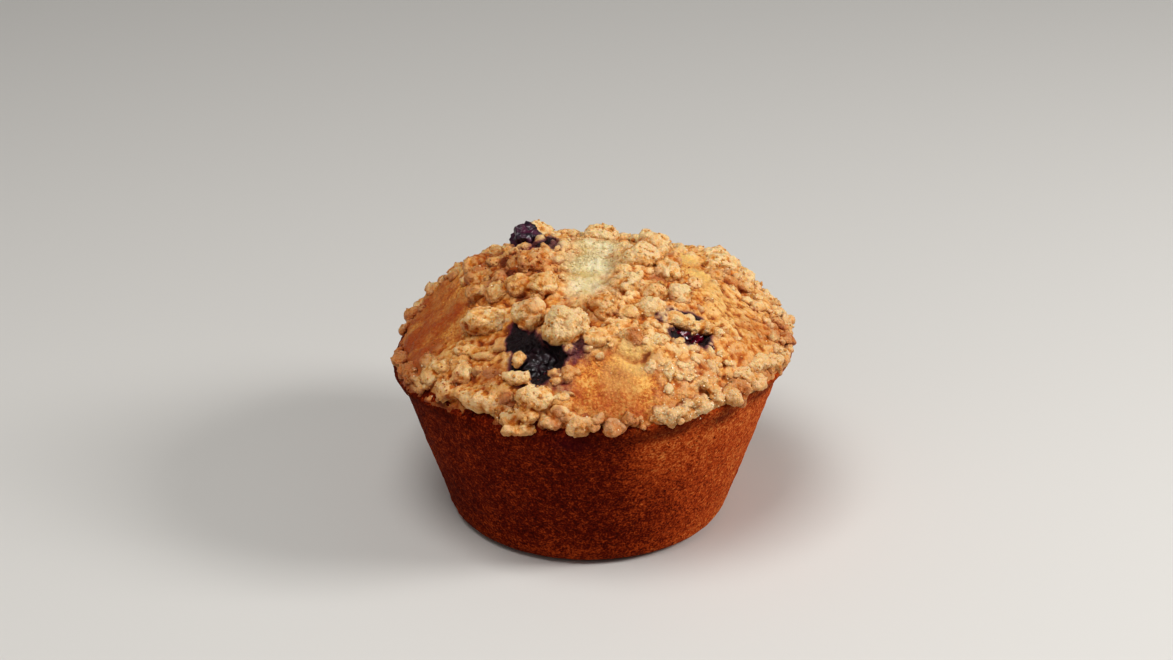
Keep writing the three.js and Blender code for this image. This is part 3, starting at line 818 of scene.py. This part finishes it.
def scatterOnCrown(count, sizes, crowding, reach, shy, taken=()):
    # throws crumbs at the crown, and keeps those that land on cover and clear of their neighbours; a shy
    # kind stays off the areas of thin crumb
    places = np.zeros((len(taken) + count, 3))
    places[:len(taken)] = np.reshape(taken, (-1, 3))
    kept = len(taken)
    tries = count * triesEach
    xs, ys = lipPlace(draw(0, 2 * math.pi, tries), reach * np.sqrt(draw(0, 1, tries)))
    radii = sizes[0] + (sizes[1] - sizes[0]) * draw(0, 1, tries) ** 1.5
    chances = crumbAt(xs, ys) ** 2 * (spotsAt(flatPlace(xs, ys), "pale") < palest)
    chances *= 1 - shy * thinAt(xs, ys)
    chances *= np.min([1 - away * (reachIn(xs, ys, patch) < 1) for *patch, away in clearings], axis=0)
    welcome = draw(0, 1, tries) < chances
    for x, y, radius in zip(xs[welcome], ys[welcome], radii[welcome]):
        near = places[:kept]
        gap = np.hypot(near[:, 0] - x, near[:, 1] - y) / (near[:, 2] + radius)
        if kept < len(places) and gap.min(initial=crowding) >= crowding:
            places[kept] = (x, y, radius)
            kept += 1
    return places[len(taken):kept]


# Crumb that sank into the crown: round swellings, with the batter risen round the feet of the placed lumps.
sunkCrumb = {
    "thrown": (760, (0.9, 2.4), 0.6, 1.0, 0.3),
    "footReach": 1.18,
    "footRise": 0.2,
    "waver": (2.0, 0.5),  # size, how far
}


def makeSunkCrumb():
    x, y, _, long, short, _, turn = np.array(crumbLumps["placed"], float).T[:7]
    wide = sunkCrumb["footReach"]
    feet = columns(x, y, long * wide, short * wide, turn, short * sunkCrumb["footRise"])
    x, y, radius = scatterOnCrown(*sunkCrumb["thrown"]).T
    count = len(x)
    high = radius * (0.16 + 0.5 * heapAt(x, y)) * draw(0.7, 1.25, count)
    across, along = radius * draw(0.95, 1.3, count), radius * draw(0.8, 1.0, count)
    return np.concatenate([feet, columns(x, y, across, along, draw(0, math.pi, count), high)])


sunk = makeSunkCrumb()


def sunkCrumbAt(x, y):
    # height of the sunken crumb over the crust
    size, far = sunkCrumb["waver"]
    x, y = (value + far * softNoise(flatPlace(x, y), size, salt) for value, salt in ((x, 110), (y, 111)))
    rise = np.zeros(len(x))
    for *patch, high in sunk:
        close = np.nonzero((np.abs(x - patch[0]) < patch[2]) & (np.abs(y - patch[1]) < patch[2]))[0]
        out = reachIn(x[close], y[close], patch)
        rise[close] = np.maximum(rise[close], high * np.sqrt(np.maximum(0, 1 - out ** 2)))
    return rise


def sinkHollows(x, y, height):
    # the crown drops to a rough-edged dish over each sunken berry
    rim = 1 + 0.14 * layeredNoise(flatPlace(x, y), 2.4, 2, 60)
    for hollowX, hollowY, lift, (halfX, halfY, halfZ) in hollows.values():
        centre = overCrown(hollowX, hollowY, lift)
        reach = reachIn(x, y, (centre[0], centre[1], halfX, halfY, 0)) / rim
        dish = centre[2] - halfZ * np.sqrt(np.maximum(0, 1 - reach ** 2))
        height = np.where(reach < 1, np.minimum(height, dish), height)
    return height


# The cake: a closed skin of rings from the base up the wall, and a finer closed skin over the crown.
cake = {
    "segments": 560,
    "edgeRings": 9,
    "wallRings": 70,
    "underRings": 8,
    "innerRings": 16,
    "crownSegments": 700,
    "crownRings": 122,
    "crownDepthMm": 1.2,  # how far the cake's own top lies below the crown's skin
    "crownFloorMm": 2.8,  # and how far the crown's own underside does
    "wallWaveMm": (14.0, 0.22),  # size, height
    "wallLumpMm": (3.2, 0.16),
    "wallPoreMm": (1.0, 0.13),
    "pitMm": (3.4, 0.45),
    "granuleMm": (1.5, 0.42),
    "smallGranuleMm": (1.1, 0.26),
    "granuleSandMm": (1.8, 0.16),
    "lipLumpMm": (3.0, 1.3),
    "lipInsetMm": 1.0,
    "droopMm": (5.0, 0.8),
    "crownWaveMm": (8.0, 0.45),
    "rippleMm": (2.6, 0.6),
    "bareGrainMm": (0.8, 0.26),
    "bareHillMm": (2.2, 0.3),
    "hollowGrainMm": (2.0, 0.7),
    "sway": (2.6, 0.8, 120),  # size, how far, salt
    "crevices": [(4, 0.18), (10, 0.45), (40, 1.0)],
}


def ringGrid(rings):
    # joins rings of points, closed over at both ends
    ringCount, segments = rings.shape[:2]
    grid = np.arange(ringCount * segments).reshape(ringCount, segments)
    here, above = grid[:-1], grid[1:]
    faces = [columns(here, np.roll(here, -1, 1), np.roll(above, -1, 1), above).reshape(-1, 4)]
    for ring in (grid[0][::-1], grid[-1]):
        fan = [(ring[i], ring[i + 1], ring[-i - 2], ring[-i - 1]) for i in range(segments // 2 - 1)]
        faces.append(np.array(fan))
    return rings.reshape(-1, 3), np.concatenate(faces)


def wallRadiusAt(height):
    return muffinForm["baseRadius"] + muffinForm["taper"] * height


def lipRings(angle, shares):
    # the underside of the lip, from the wall (0) out to the widest ring (1)
    lipX, lipY = lipPlace(angle, 1)
    widest = lipHeightAt(lipX, lipY)
    wallRadius = wallRadiusAt(widest - muffinForm["lipDrop"])
    rings = []
    for share in shares:
        height = widest - muffinForm["lipDrop"] * (1 - share ** muffinForm["underRounding"])
        out = share ** muffinForm["flare"]
        x = wallRadius * np.cos(angle) * (1 - out) + lipX * out
        y = wallRadius * np.sin(angle) * (1 - out) + lipY * out
        rings.append(columns(x, y, height))
    return rings


def crownRings(angle, shares, below):
    places = (lipPlace(angle, share) for share in shares)
    return [columns(x, y, sinkHollows(x, y, crownHeightAt(x, y)) - below) for x, y in places]


def noiseRelief(points, name, salt, layers=1):
    size, height = cake[name]
    return height * layeredNoise(points, size, layers, salt)


def makeCake():
    angle = np.arange(cake["segments"]) * 2 * math.pi / cake["segments"]
    lean = math.atan(muffinForm["taper"])
    edge = muffinForm["edgeRadius"]
    edgeCentre = wallRadiusAt(edge) - edge / math.cos(lean)
    wallTop = lipHeightAt(*lipPlace(angle, 1)) - muffinForm["lipDrop"]
    wallStart = edge * (1 - math.sin(lean))
    outline = [(edgeCentre * share, 0) for share in (0.02, 0.35, 0.7)]
    for turn in np.linspace(-math.pi / 2, -lean, cake["edgeRings"]):
        outline.append((edgeCentre + edge * math.cos(turn), edge * (1 + math.sin(turn))))
    for share in np.linspace(0, 1, cake["wallRings"])[1:]:
        height = wallStart + (wallTop - wallStart) * share
        outline.append((wallRadiusAt(height), height))
    rings = [columns(r * np.cos(angle), r * np.sin(angle), 0 * angle + height) for r, height in outline]
    rings += lipRings(angle, np.linspace(0, 1, cake["underRings"])[1:-1])
    wallCount = len(rings)
    rings += crownRings(angle, np.linspace(0.985, 0.01, cake["innerRings"]), cake["crownDepthMm"])
    points, faces = ringGrid(np.array(rings))
    x, y, z = points.T
    normal = vertexNormals(points, faces)
    onWall = np.repeat(np.arange(len(rings)) < wallCount, cake["segments"])

    # relief of the wall: broad waves, small lumps, pores and a few larger pits
    wall = noiseRelief(points, "wallWaveMm", 1) + noiseRelief(points, "wallLumpMm", 2, 2)
    wall += noiseRelief(points, "wallPoreMm", 5)
    near, own = packedGrains(points, cake["pitMm"][0], 7)
    wall -= cake["pitMm"][1] * fadeOut(near, 0.05, 0.22) * (own > 0.6)
    points = points + normal * (wall * smoothStep(z, 0.2, 2.5) * onWall)[:, None]
    points[:, 2] = np.maximum(points[:, 2], 0)

    # the wall is lighter at the right and at the back as painted light, and lighter near the table; the noise
    # and a patch at the front right are its own golden colour
    goldenAndLight = 0.24 * smoothStep(layeredNoise(points, 7, 3, 38), -0.3, 0.7) + smoothStep(x, 2, 36)
    goldenAndLight += 0.6 * mound(x, z, 16, 33, 9) * (y < 0)
    goldenAndLight += 0.3 * smoothStep(-z, -9, -1) + 0.5 * smoothStep(y, -2, 22)
    layers = {
        # painted shadow: the top of the wall, under the lip, is darkened
        "shadeUnderLip": smoothStep(z, 34, 38.5) * smoothStep(softNoise(points, 5, 36), -0.6, 0.5) * onWall,
        "goldenAndLight": goldenAndLight / 1.5,
        "juice": np.exp(-((x + 4) / 4.5) ** 2 - ((z - 37) / 1.8) ** 2) * (y < 0),
    }
    addPiece("cake", points, faces, makeSpongeCrust(), layers, ["muffin"])


def makeCrown():
    angle = np.arange(cake["crownSegments"]) * 2 * math.pi / cake["crownSegments"]
    rings = crownRings(angle, (0.01, 0.3, 0.6, 0.9), cake["crownFloorMm"])
    hidden = len(rings)
    rings += lipRings(angle, (0.3, 0.5, 0.7, 0.85, 0.95))
    rings += crownRings(angle, np.maximum(1 - np.linspace(0, 1, cake["crownRings"]) ** 1.2, 0.004), 0)
    base, faces = ringGrid(np.array(rings))
    x, y, z = base.T
    shown = np.repeat(np.arange(len(rings)) >= hidden, cake["crownSegments"]).astype(float)
    share = shareOut(x, y)
    onLip = smoothStep(share, 0.9, 0.98) * shown
    covered = crumbAt(x, y) * shown
    pale = spotsAt(base, "pale") * shown
    rough = np.maximum(covered, 0.8 * pale)
    inHollow = np.max([fadeOut(reachIn(x, y, (hollowX, hollowY, halfX, halfY, 0)), 0.8, 1.15)
                       for hollowX, hollowY, _, (halfX, halfY, _) in hollows.values()], axis=0) * shown

    # sunken crumb, crumb packed on the lip, and the broad unevenness of the crust
    sunkRise = sunkCrumbAt(x, y) * (1 - onLip) * smoothStep(rough, 0.1, 0.6) * (1 - 0.5 * inHollow)
    sunkRise *= 1 - 0.7 * pale
    near, own = packedGrains(swayed(base, *cake["sway"]), cake["lipLumpMm"][0], 12)
    lipRise = cake["lipLumpMm"][1] * (0.45 - near ** 2) * (0.5 + 0.7 * own) * onLip * np.maximum(covered, 0.2)
    rise = sunkRise + lipRise + noiseRelief(base * (1, 0.45, 0.45), "rippleMm", 52) * pale
    rise += noiseRelief(base, "crownWaveMm", 24, 3) * shown - cake["lipInsetMm"] * onLip
    rise -= creaseDepthAt(x, y) * shown
    points = evenedOut(base + vertexNormals(base, faces) * rise[:, None], faces, 1)
    droop = cake["droopMm"][1] * smoothStep(layeredNoise(base, cake["droopMm"][0], 2, 45), -0.2, 0.5)
    points[:, 2] -= droop * smoothStep(share, 0.96, 1.0) * covered
    # below the widest ring there is crust, darkened partly as painted shade under the lip, with a ragged edge
    # of crumb above it
    depth = lipHeightAt(x, y) - z + 0.4 + smoothStep(-x, 0, 15) + 1.3 * layeredNoise(base, 3.0, 3, 48)
    under = smoothStep(depth, -0.2, 0.5) * smoothStep(share, 0.85, 0.95) * shown
    covered = covered * (1 - under)

    # granules of the crumb, and the sandy grain of the bare crust
    granules, own = roundGrains(points, cake["granuleMm"], cake["sway"], 12)
    nearSmall, _ = packedGrains(swayed(points, 1.2, 0.3, 124), cake["smallGranuleMm"][0], 18)
    small = cake["smallGranuleMm"][1] * (0.5 - nearSmall ** 2)
    granules += small + noiseRelief(points, "granuleSandMm", 20, 3)
    grain = noiseRelief(points, "bareGrainMm", 28) + noiseRelief(points, "bareHillMm", 29)
    grain += np.abs(noiseRelief(points, "hollowGrainMm", 33, 3)) * inHollow
    heaped = np.maximum(onLip, 0.45 + 0.55 * heapAt(x, y))
    amount = np.maximum(0.16, rough) * (1 - 0.15 * inHollow) * heaped * (1 - 0.75 * pale)
    points = points + vertexNormals(points, faces) * ((granules * amount + grain) * shown)[:, None]

    fine, broad, wide = crevicesOf(points, faces, cake["crevices"])
    creviceShade = np.maximum(0.3 * fine, np.maximum(broad, 0.8 * wide))
    creviceShade = creviceShade * np.maximum(0.25, rough) * (1 - 0.85 * pale)
    creviceShade = np.maximum(creviceShade, spotsAt(points, "shadedGaps") * shown)
    thick = np.maximum(onLip, 0.35 + 0.65 * smoothStep(sunkRise, 0.1, 0.7))
    # painted light in these masks: the tone drops in hollows as painted shade, creases and gaps get painted
    # shade, the tops of grains a painted highlight, the crust under the lip painted shade, and the left
    # flank's browning is painted shade
    layers = {
        "covered": covered * thick * (1 - 0.7 * fadeOut(reachIn(x, y, bareCrust["front"]), 0.9, 1.9)),
        "tone": toneFieldAt(x, y) + 0.2 * (own - 0.5) + 0.25 * (0.42 - broad) + 0.5 * (0.35 - wide),
        "creviceShade": np.maximum(creviceShade, 0.8 * creaseDepthAt(x, y) * shown),
        "tipHighlight": tipsOf(fine, broad) * covered,
        "pale": pale,
        "yolk": spotsAt(points, "yolk") * shown,
        "toastAndShade": np.maximum(spotsAt(points, "toastAndShade"), 0.5 * smoothStep(share, 0.86, 1.0)) * shown,
        "shadeUnderLip": 0.75 * under,
        "juice": np.maximum(spotsAt(points, "juice"), 0.85 * inHollow) * shown,
    }
    addPiece("crown", points, faces, makeCrownCrust(), layers, ["muffin"])
    top = shown * (share < 0.985) > 0.5
    return points[top], vertexNormals(points, faces)[top]


overhang = 0.97  # how far out crumb begins to hang over the lip
crumbRoot = 1.1  # how far in mm a crumb reaches into the crust it is baked onto


def settled(points):
    x, y, z = points.T
    root = np.maximum(z, crownHeightAt(x, y) - crumbRoot)
    return columns(x, y, np.where(shareOut(x, y) < overhang, root, z))


def finishCrumbs(name, parts, middles, tones, sizes):
    points, faces = joined(parts)
    points, faces = fused(settled(points), faces, sizes["voxelMm"])
    points = swayed(evenedOut(points, faces, sizes["melt"]), *sizes["swayMm"], 130)
    normal = vertexNormals(points, faces)
    # grains with their sway's size, reach and salt, then their own salt
    relief, own = roundGrains(points, sizes["grainMm"], (1.8, 0.6, 134), 80)
    relief += roundGrains(points, sizes["fineGrainMm"], (1.0, 0.25, 138), 83, 0.55)[0]
    relief += sizes["sandMm"][1] * softNoise(points, sizes["sandMm"][0], 86)
    relief += 0.2 * layeredNoise(points, 1.8, 3, 90)
    points = points + normal * relief[:, None]

    tree = KDTree(len(middles))
    for i, middle in enumerate(middles):
        tree.insert(middle, i)
    tree.balance()
    nearest = np.array([tree.find(point)[1] for point in points])
    height = heightOver(points)
    share = shareOut(points[:, 0], points[:, 1])
    low = fadeOut(height, -0.4, 1.5) * (share < overhang)
    fine, broad, wide = crevicesOf(points, faces, [(4, 0.2), (10, 0.75), (45, 1.1)])
    shadedGaps = spotsAt(points, "shadedGaps") * fadeOut(height, 0.8, 3.0)
    # painted light: faces turned up get a lighter tone, faces turned down a darker one
    lit = 0.3 * smoothStep(normal[:, 2], -0.3, 0.7) - 0.2
    # painted shade: the tone drops in the hollows of each lump, and creases, the low parts near the crust and
    # the gaps are darkened; the tops of grains get a painted highlight
    layers = {
        "tone": tones[nearest] + 0.2 * (own - 0.5) + 0.25 * (0.35 - broad) + 0.6 * (0.3 - wide) + lit,
        "creviceShade": np.max([0.35 * fine, broad, 0.6 * low, 0.8 * wide, shadedGaps], axis=0),
        "tipHighlight": tipsOf(fine, broad),
        "pale": 0.7 * spotsAt(points, "pale"),
        "toastAndShade": spotsAt(points, "toastAndShade") + 0.3 * smoothStep(share, 0.9, 1.02),
        "juice": spotsAt(points, "juice") * fadeOut(height, *sizes["stainMm"]),
    }
    addPiece(name, points, faces, lumpMaterial, layers)
    return points, vertexNormals(points, faces)


def makeLumps():
    x, y, lift, *half, turn, knob, tone = np.array(crumbLumps["placed"], float).T
    half = columns(*half)
    more = scatterOnCrown(*crumbLumps["thrown"], columns(x, y, half[:, 0]))
    moreX, moreY, size = more.T
    moreLift = (0.5 * heapAt(moreX, moreY) - 0.3) * size
    middles = np.concatenate([overCrown(x, y, lift), overCrown(moreX, moreY, moreLift)])
    moreHalf = more[:, 2:] * draw((0.95, 0.8, 0.75), (1.25, 1.05, 0.95), (len(more), 3))
    halves = np.concatenate([half, moreHalf]) * crumbLumps["core"]
    turns = flatTurns(np.concatenate([turn, draw(0, 2 * math.pi, len(more))]))
    knobs = np.concatenate([knob, draw(0.3, 0.9, len(more))])
    moreTone = toneFieldAt(moreX, moreY) + draw(-0.25, 0.2, len(more))
    # painted shade: placed lumps at the left get a darker tone
    leftShade = 0.18 * smoothStep(-x, 6, 20)
    tones = np.concatenate([tone - leftShade, moreTone])
    lumps = makeNuggets(middles, halves, turns, 4, 0.16)

    # knobs stand out of each lump's skin, larger and more of them on a knobbly one
    made = []
    for middle, half, turn, knob, tone in zip(middles, halves, turns, knobs, tones):
        size = half.mean() / crumbLumps["core"]
        count = int(4 + (8 + 2.2 * size ** 1.3) * knob)
        direction = random.normal(size=(count, 3))
        direction[:, 2] = np.abs(direction[:, 2]) * 0.9 - 0.15
        direction = unit(direction)
        radius = size * (0.2 + 0.2 * knob) * draw(0.65, 1.35, count)
        out = half - radius[:, None] * (0.8 - 0.4 * knob)
        made.append((middle + np.einsum("ij,nj->ni", turn, direction * out),
                     radius[:, None] * draw(0.8, 1.25, (count, 3)), tone + draw(-0.14, 0.14, count)))
    knobMiddles, knobHalves, knobTones = (np.concatenate(part) for part in zip(*made))
    parts = [lumps, makeNuggets(knobMiddles, knobHalves, anyTurns(len(knobMiddles)), 3, 0.15)]
    surface = finishCrumbs("crumbLumps", parts, np.concatenate([middles, knobMiddles]),
                           np.concatenate([tones, knobTones]), crumbLumps)
    return surface, columns(middles[:, 0], middles[:, 1], 0.8 * halves[:, 0] / crumbLumps["core"])


def makeLooseCrumbs(taken):
    # crumbs over the crown, between the lumps
    x, y, radius = scatterOnCrown(*looseCrumbs["thrown"], taken).T
    middles = [overCrown(x, y, sunkCrumbAt(x, y) + (0.45 * heapAt(x, y) - 0.3) * radius)]
    radii = [radius]

    # the strip that bridges the right berry
    strip = np.linspace(*bridge["x"], bridge["count"])
    middles.append(overCrown(strip, bridge["y"] + draw(-0.5, 0.5, bridge["count"]), bridge["rise"]))
    radii.append(bridge["mm"] * draw(0.65, 1.05, bridge["count"]))

    # crumbs soaked in juice, down in the hollows
    for middleX, middleY, spreadX, spreadY, count in looseCrumbs["soaked"]:
        x = middleX + draw(-spreadX, spreadX, count)
        y = middleY + draw(-spreadY, spreadY, count)
        height = sinkHollows(x, y, crownHeightAt(x, y)) + draw(-0.4, 0.4, count)
        middles.append(columns(x, y, height))
        radii.append(draw(0.7, 1.5, count))

    # the rough band along the lip
    angle = draw(0, 2 * math.pi, looseCrumbs["lipCount"] * 2)
    x, y = lipPlace(angle, 1)
    wanted = crumbAt(x * overhang, y * overhang) * smoothStep(softNoise(flatPlace(x, y), 7, 95), -0.9, -0.1)
    angle = angle[draw(0, 1, len(angle)) < wanted][:looseCrumbs["lipCount"]]
    low, high = looseCrumbs["lipMm"]
    radius = low + (high - low) * draw(0, 1, len(angle)) ** 1.6
    inward = 1 - (0.75 * radius + draw(0, 1.2, len(angle))) / muffinForm["lipRadius"]
    setBack = 0.9 * smoothStep(-np.cos(angle), 0, 0.35)
    x, y = lipPlace(angle, inward - setBack / muffinForm["lipRadius"])
    middles.append(columns(x, y, lipHeightAt(x, y) + draw(-0.1, 2.1, len(angle)) + setBack))
    radii.append(radius)

    middles, radii = np.concatenate(middles), np.concatenate(radii)
    tones = toneFieldAt(middles[:, 0], middles[:, 1]) + draw(-0.2, 0.2, len(middles))
    halves = radii[:, None] * draw(0.75, 1.3, (len(middles), 3))
    parts = [makeNuggets(middles, halves, anyTurns(len(middles)), 3, 0.2)]
    return finishCrumbs("looseCrumbs", parts, middles, tones, looseCrumbs)


def makeFineCrumbs(points, normals):
    # fine crumb sticks to everything that points up or out
    x, y, z = points.T
    facing = (normals[:, 2] > -0.2) & ((z > crownHeightAt(x, y) - 0.4) | (shareOut(x, y) > overhang))
    clump = smoothStep(softNoise(points, 3.5, 99), -0.5, 0.5)
    chance = np.where(facing, (0.2 + 0.8 * clump) * np.maximum(0.12, crumbAt(x, y)), 0)
    chance /= chance.sum()
    parts, tones = [], []
    for count, low, high, subdivisions in fineCrumbs.values():
        pick = random.choice(len(points), count, replace=False, p=chance)
        radius = draw(low, high, count)
        middles = points[pick] + normals[pick] * (radius * draw(-0.2, 0.4, count))[:, None]
        halves = radius[:, None] * draw(0.7, 1.3, (count, 3))
        parts.append(makeNuggets(middles, halves, anyTurns(count), subdivisions, 0.3))
        tone = toneFieldAt(middles[:, 0], middles[:, 1]) + draw(-0.1, 0.25, count)
        tones.append(np.repeat(tone, len(parts[-1][0]) // count))
    points, faces = joined(parts)
    # all fine crumb gets a weak painted highlight
    layers = {
        "tone": np.concatenate(tones),
        "creviceShade": 0,
        "tipHighlight": 0.3,
        "pale": spotsAt(points, "pale"),
        "toastAndShade": spotsAt(points, "toastAndShade"),
        "juice": spotsAt(points, "juice") * fadeOut(heightOver(points), 0.4, 2.0),
    }
    addPiece("fineCrumbs", points, faces, dustMaterial, layers)


# Sugar: clear crystals with cut faces that catch the light on the lip.
def makeSugarMaterial():
    material, tree, place = startMaterial("bakedSugarCrystal")
    tone = rampOf(tree, noiseOf(tree, place, 0.3, 2.0), [(0.3, "#e9c88f"), (0.7, "#f7ead0")])
    finishMaterial(tree, {"Base Color": tone, "Roughness": 0.15, "IOR": 1.54})
    return material


def makeSugar(points, normals):
    x, y, _ = points.T
    # most of it lies on the lip at the front right
    chance = (0.12 + 2.5 * mound(x, y, 22, -38, 11)) * (normals[:, 2] > -0.3)
    chance *= smoothStep(shareOut(x, y), 0.2, 0.9)
    chance *= crumbAt(x, y)
    count = sugar["count"]
    pick = random.choice(len(points), count, replace=False, p=chance / chance.sum())
    half = draw(*sugar["mm"], (count, 1)) * draw(0.8, 1.25, (count, 3))
    cube = np.array(list(np.ndindex(2, 2, 2))) * 2.0 - 1
    sides = np.array([[0, 1, 3, 2], [4, 6, 7, 5], [0, 4, 5, 1], [2, 3, 7, 6], [0, 2, 6, 4], [1, 5, 7, 3]])
    middles = points[pick] + normals[pick] * half.mean(axis=1, keepdims=True) * 0.5
    shape = np.einsum("nij,nvj->nvi", anyTurns(count), cube * half[:, None, :]) + middles[:, None, :]
    faces = (sides + np.arange(count)[:, None, None] * 8).reshape(-1, 4)
    addPiece("sugarCrystals", shape.reshape(-1, 3), faces, makeSugarMaterial(), {}, smooth=False)


# Baked berries: skins that shrank over their juice. Wet ones burst and shine, a dry one keeps its bloom.
berrySkins = {
    "berry_front": {"skin": "#110a0b", "flesh": "#240a16", "bloom": "#241e20", "bloomAmount": 0.5,
                    "roughness": 0.42, "coat": 0.12, "foldMm": (3.0, 1.5), "wrinkleMm": (1.4, 0.35)},
    "berry_right": {"skin": "#26060f", "flesh": "#84102e", "bloom": "#3a1422", "bloomAmount": 0.2,
                    "roughness": 0.2, "coat": 1.0, "foldMm": (2.2, 0.7), "wrinkleMm": (0.9, 0.35)},
    "berry_top": {"skin": "#180c18", "flesh": "#4c1230", "bloom": "#3a2c38", "bloomAmount": 0.7,
                  "roughness": 0.42, "coat": 0.2, "foldMm": (2.8, 1.4), "wrinkleMm": (1.2, 0.3)},
}


def makeBerrySkin(name, finish):
    material, tree, place = startMaterial("bakedSkinOf." + name)
    fine = noiseOf(tree, place, 0.35, 3.0)
    tone = rampOf(tree, noiseOf(tree, place, 1.6, 4.0, 0.6), [(0.4, finish["skin"]), (0.6, finish["flesh"])])
    # bloom is left on the tops of the folds
    dusty = combined(tree, "MULTIPLY", maskOf(tree, "fold"), fine)
    colour = paintOver(tree, tone, [("dusty", finish["bloom"], finish["bloomAmount"])], {"dusty": dusty})
    finishMaterial(tree, {
        "Base Color": colour, "Normal": bumpOf(tree, fine, 0.08), "Roughness": finish["roughness"],
        "Coat Weight": finish["coat"], "Coat Roughness": 0.08, "IOR": 1.42})
    return material


def makeBerries():
    ball, faces = ballOf(6)
    for node, finish in berrySkins.items():
        low, high = (np.array(corner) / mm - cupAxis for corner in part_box(node))
        half = (high - low) / 2
        shape = ball * half
        salt = len(node) + int(half[0] * 10)
        foldSize, foldDepth = finish["foldMm"]
        wrinkleSize, wrinkleDepth = finish["wrinkleMm"]
        fold = layeredNoise(shape, foldSize, 2, salt)
        wrinkle = np.maximum(0, 1 - 2.5 * np.abs(softNoise(shape, wrinkleSize, salt + 5)))
        shape = shape - ball * (foldDepth * (0.5 - fold) - wrinkleDepth * wrinkle)[:, None]
        layers = {"fold": smoothStep(fold, -0.1, 0.5)}
        name = node.replace("berry_", "bakedBerry.")
        addPiece(name, (low + high) / 2 + shape, faces, makeBerrySkin(node, finish), layers, [node])


lumpMaterial = makeButterCrumb("butterCrumb", 0.3)
dustMaterial = makeButterCrumb("butterCrumbDust", 0.0)
makeCake()
crownSurface = makeCrown()
lumpSurface, lumpPlaces = makeLumps()
looseSurface = makeLooseCrumbs(lumpPlaces)
surfaces = zip(crownSurface, lumpSurface, looseSurface)
surfacePoints, surfaceNormals = (np.concatenate(part) for part in surfaces)
makeFineCrumbs(surfacePoints, surfaceNormals)
makeSugar(surfacePoints, surfaceNormals)
makeBerries()

# Plain studio: pale floor, one broad key from the right and above, one lamp over it and a weak fill in front.
studio = {
    "floor": "#cfccc7",
    "lamps": {"key": ((0.66, -0.12, 0.46), 0.24, 3.9), "top": ((-0.15, -0.26, 0.8), 0.4, 3.7),
              "fill": ((-0.4, -0.7, 0.5), 0.8, 0.9)},  # place, size, watts
    "lampsAimAt": (0, 0, 0.035),
    "sky": "#ffffff",
    "skyStrength": 0.14,
    "look": "Medium High Contrast",
}


def makeStudio():
    corners = np.array([[-2, -2, 0], [2, -2, 0], [2, 2, 0], [-2, 2, 0]])
    material, tree, _ = startMaterial("paleStudioFloor")
    finishMaterial(tree, {"Base Color": toLinear(studio["floor"]), "Roughness": 0.9})
    floor = addObject("floor", meshFrom("floor", corners, np.array([[0, 1, 2, 3]])))
    floor.data.materials.append(material)
    floor.location.z = -0.0002
    for name, (at, size, watts) in studio["lamps"].items():
        lamp = addObject(name, bpy.data.lights.new(name, "AREA"))
        lamp.data.size = size
        lamp.data.energy = watts
        lamp.location = at
        lamp.rotation_euler = (Vector(studio["lampsAimAt"]) - Vector(at)).to_track_quat("-Z", "Y").to_euler()
    world = bpy.data.worlds.new("studioSky")
    world.use_nodes = True
    sky = world.node_tree.nodes["Background"]
    sky.inputs["Color"].default_value = toLinear(studio["sky"])
    sky.inputs["Strength"].default_value = studio["skyStrength"]
    bpy.context.scene.world = world
    bpy.context.scene.view_settings.view_transform = "Standard"
    bpy.context.scene.view_settings.look = studio["look"]
    print("studio set")


# Camera: 26 degrees down at the muffin from two thirds of a metre.
camera = {"lensMm": 86.78, "pitch": 25.81, "distance": 0.65, "aimMm": (-0.46, 0.0, 43.47)}


def makeCamera():
    obj = addObject("camera", bpy.data.cameras.new("camera"))
    obj.data.sensor_width = 36
    obj.data.lens = camera["lensMm"]
    pitch = math.radians(camera["pitch"])
    aim = Vector((np.array(camera["aimMm"]) + cupAxis) * mm)
    obj.location = aim + Vector((0, -math.cos(pitch), math.sin(pitch))) * camera["distance"]
    obj.rotation_euler = (math.pi / 2 - pitch, 0, 0)
    bpy.context.scene.camera = obj


makeStudio()
makeCamera()
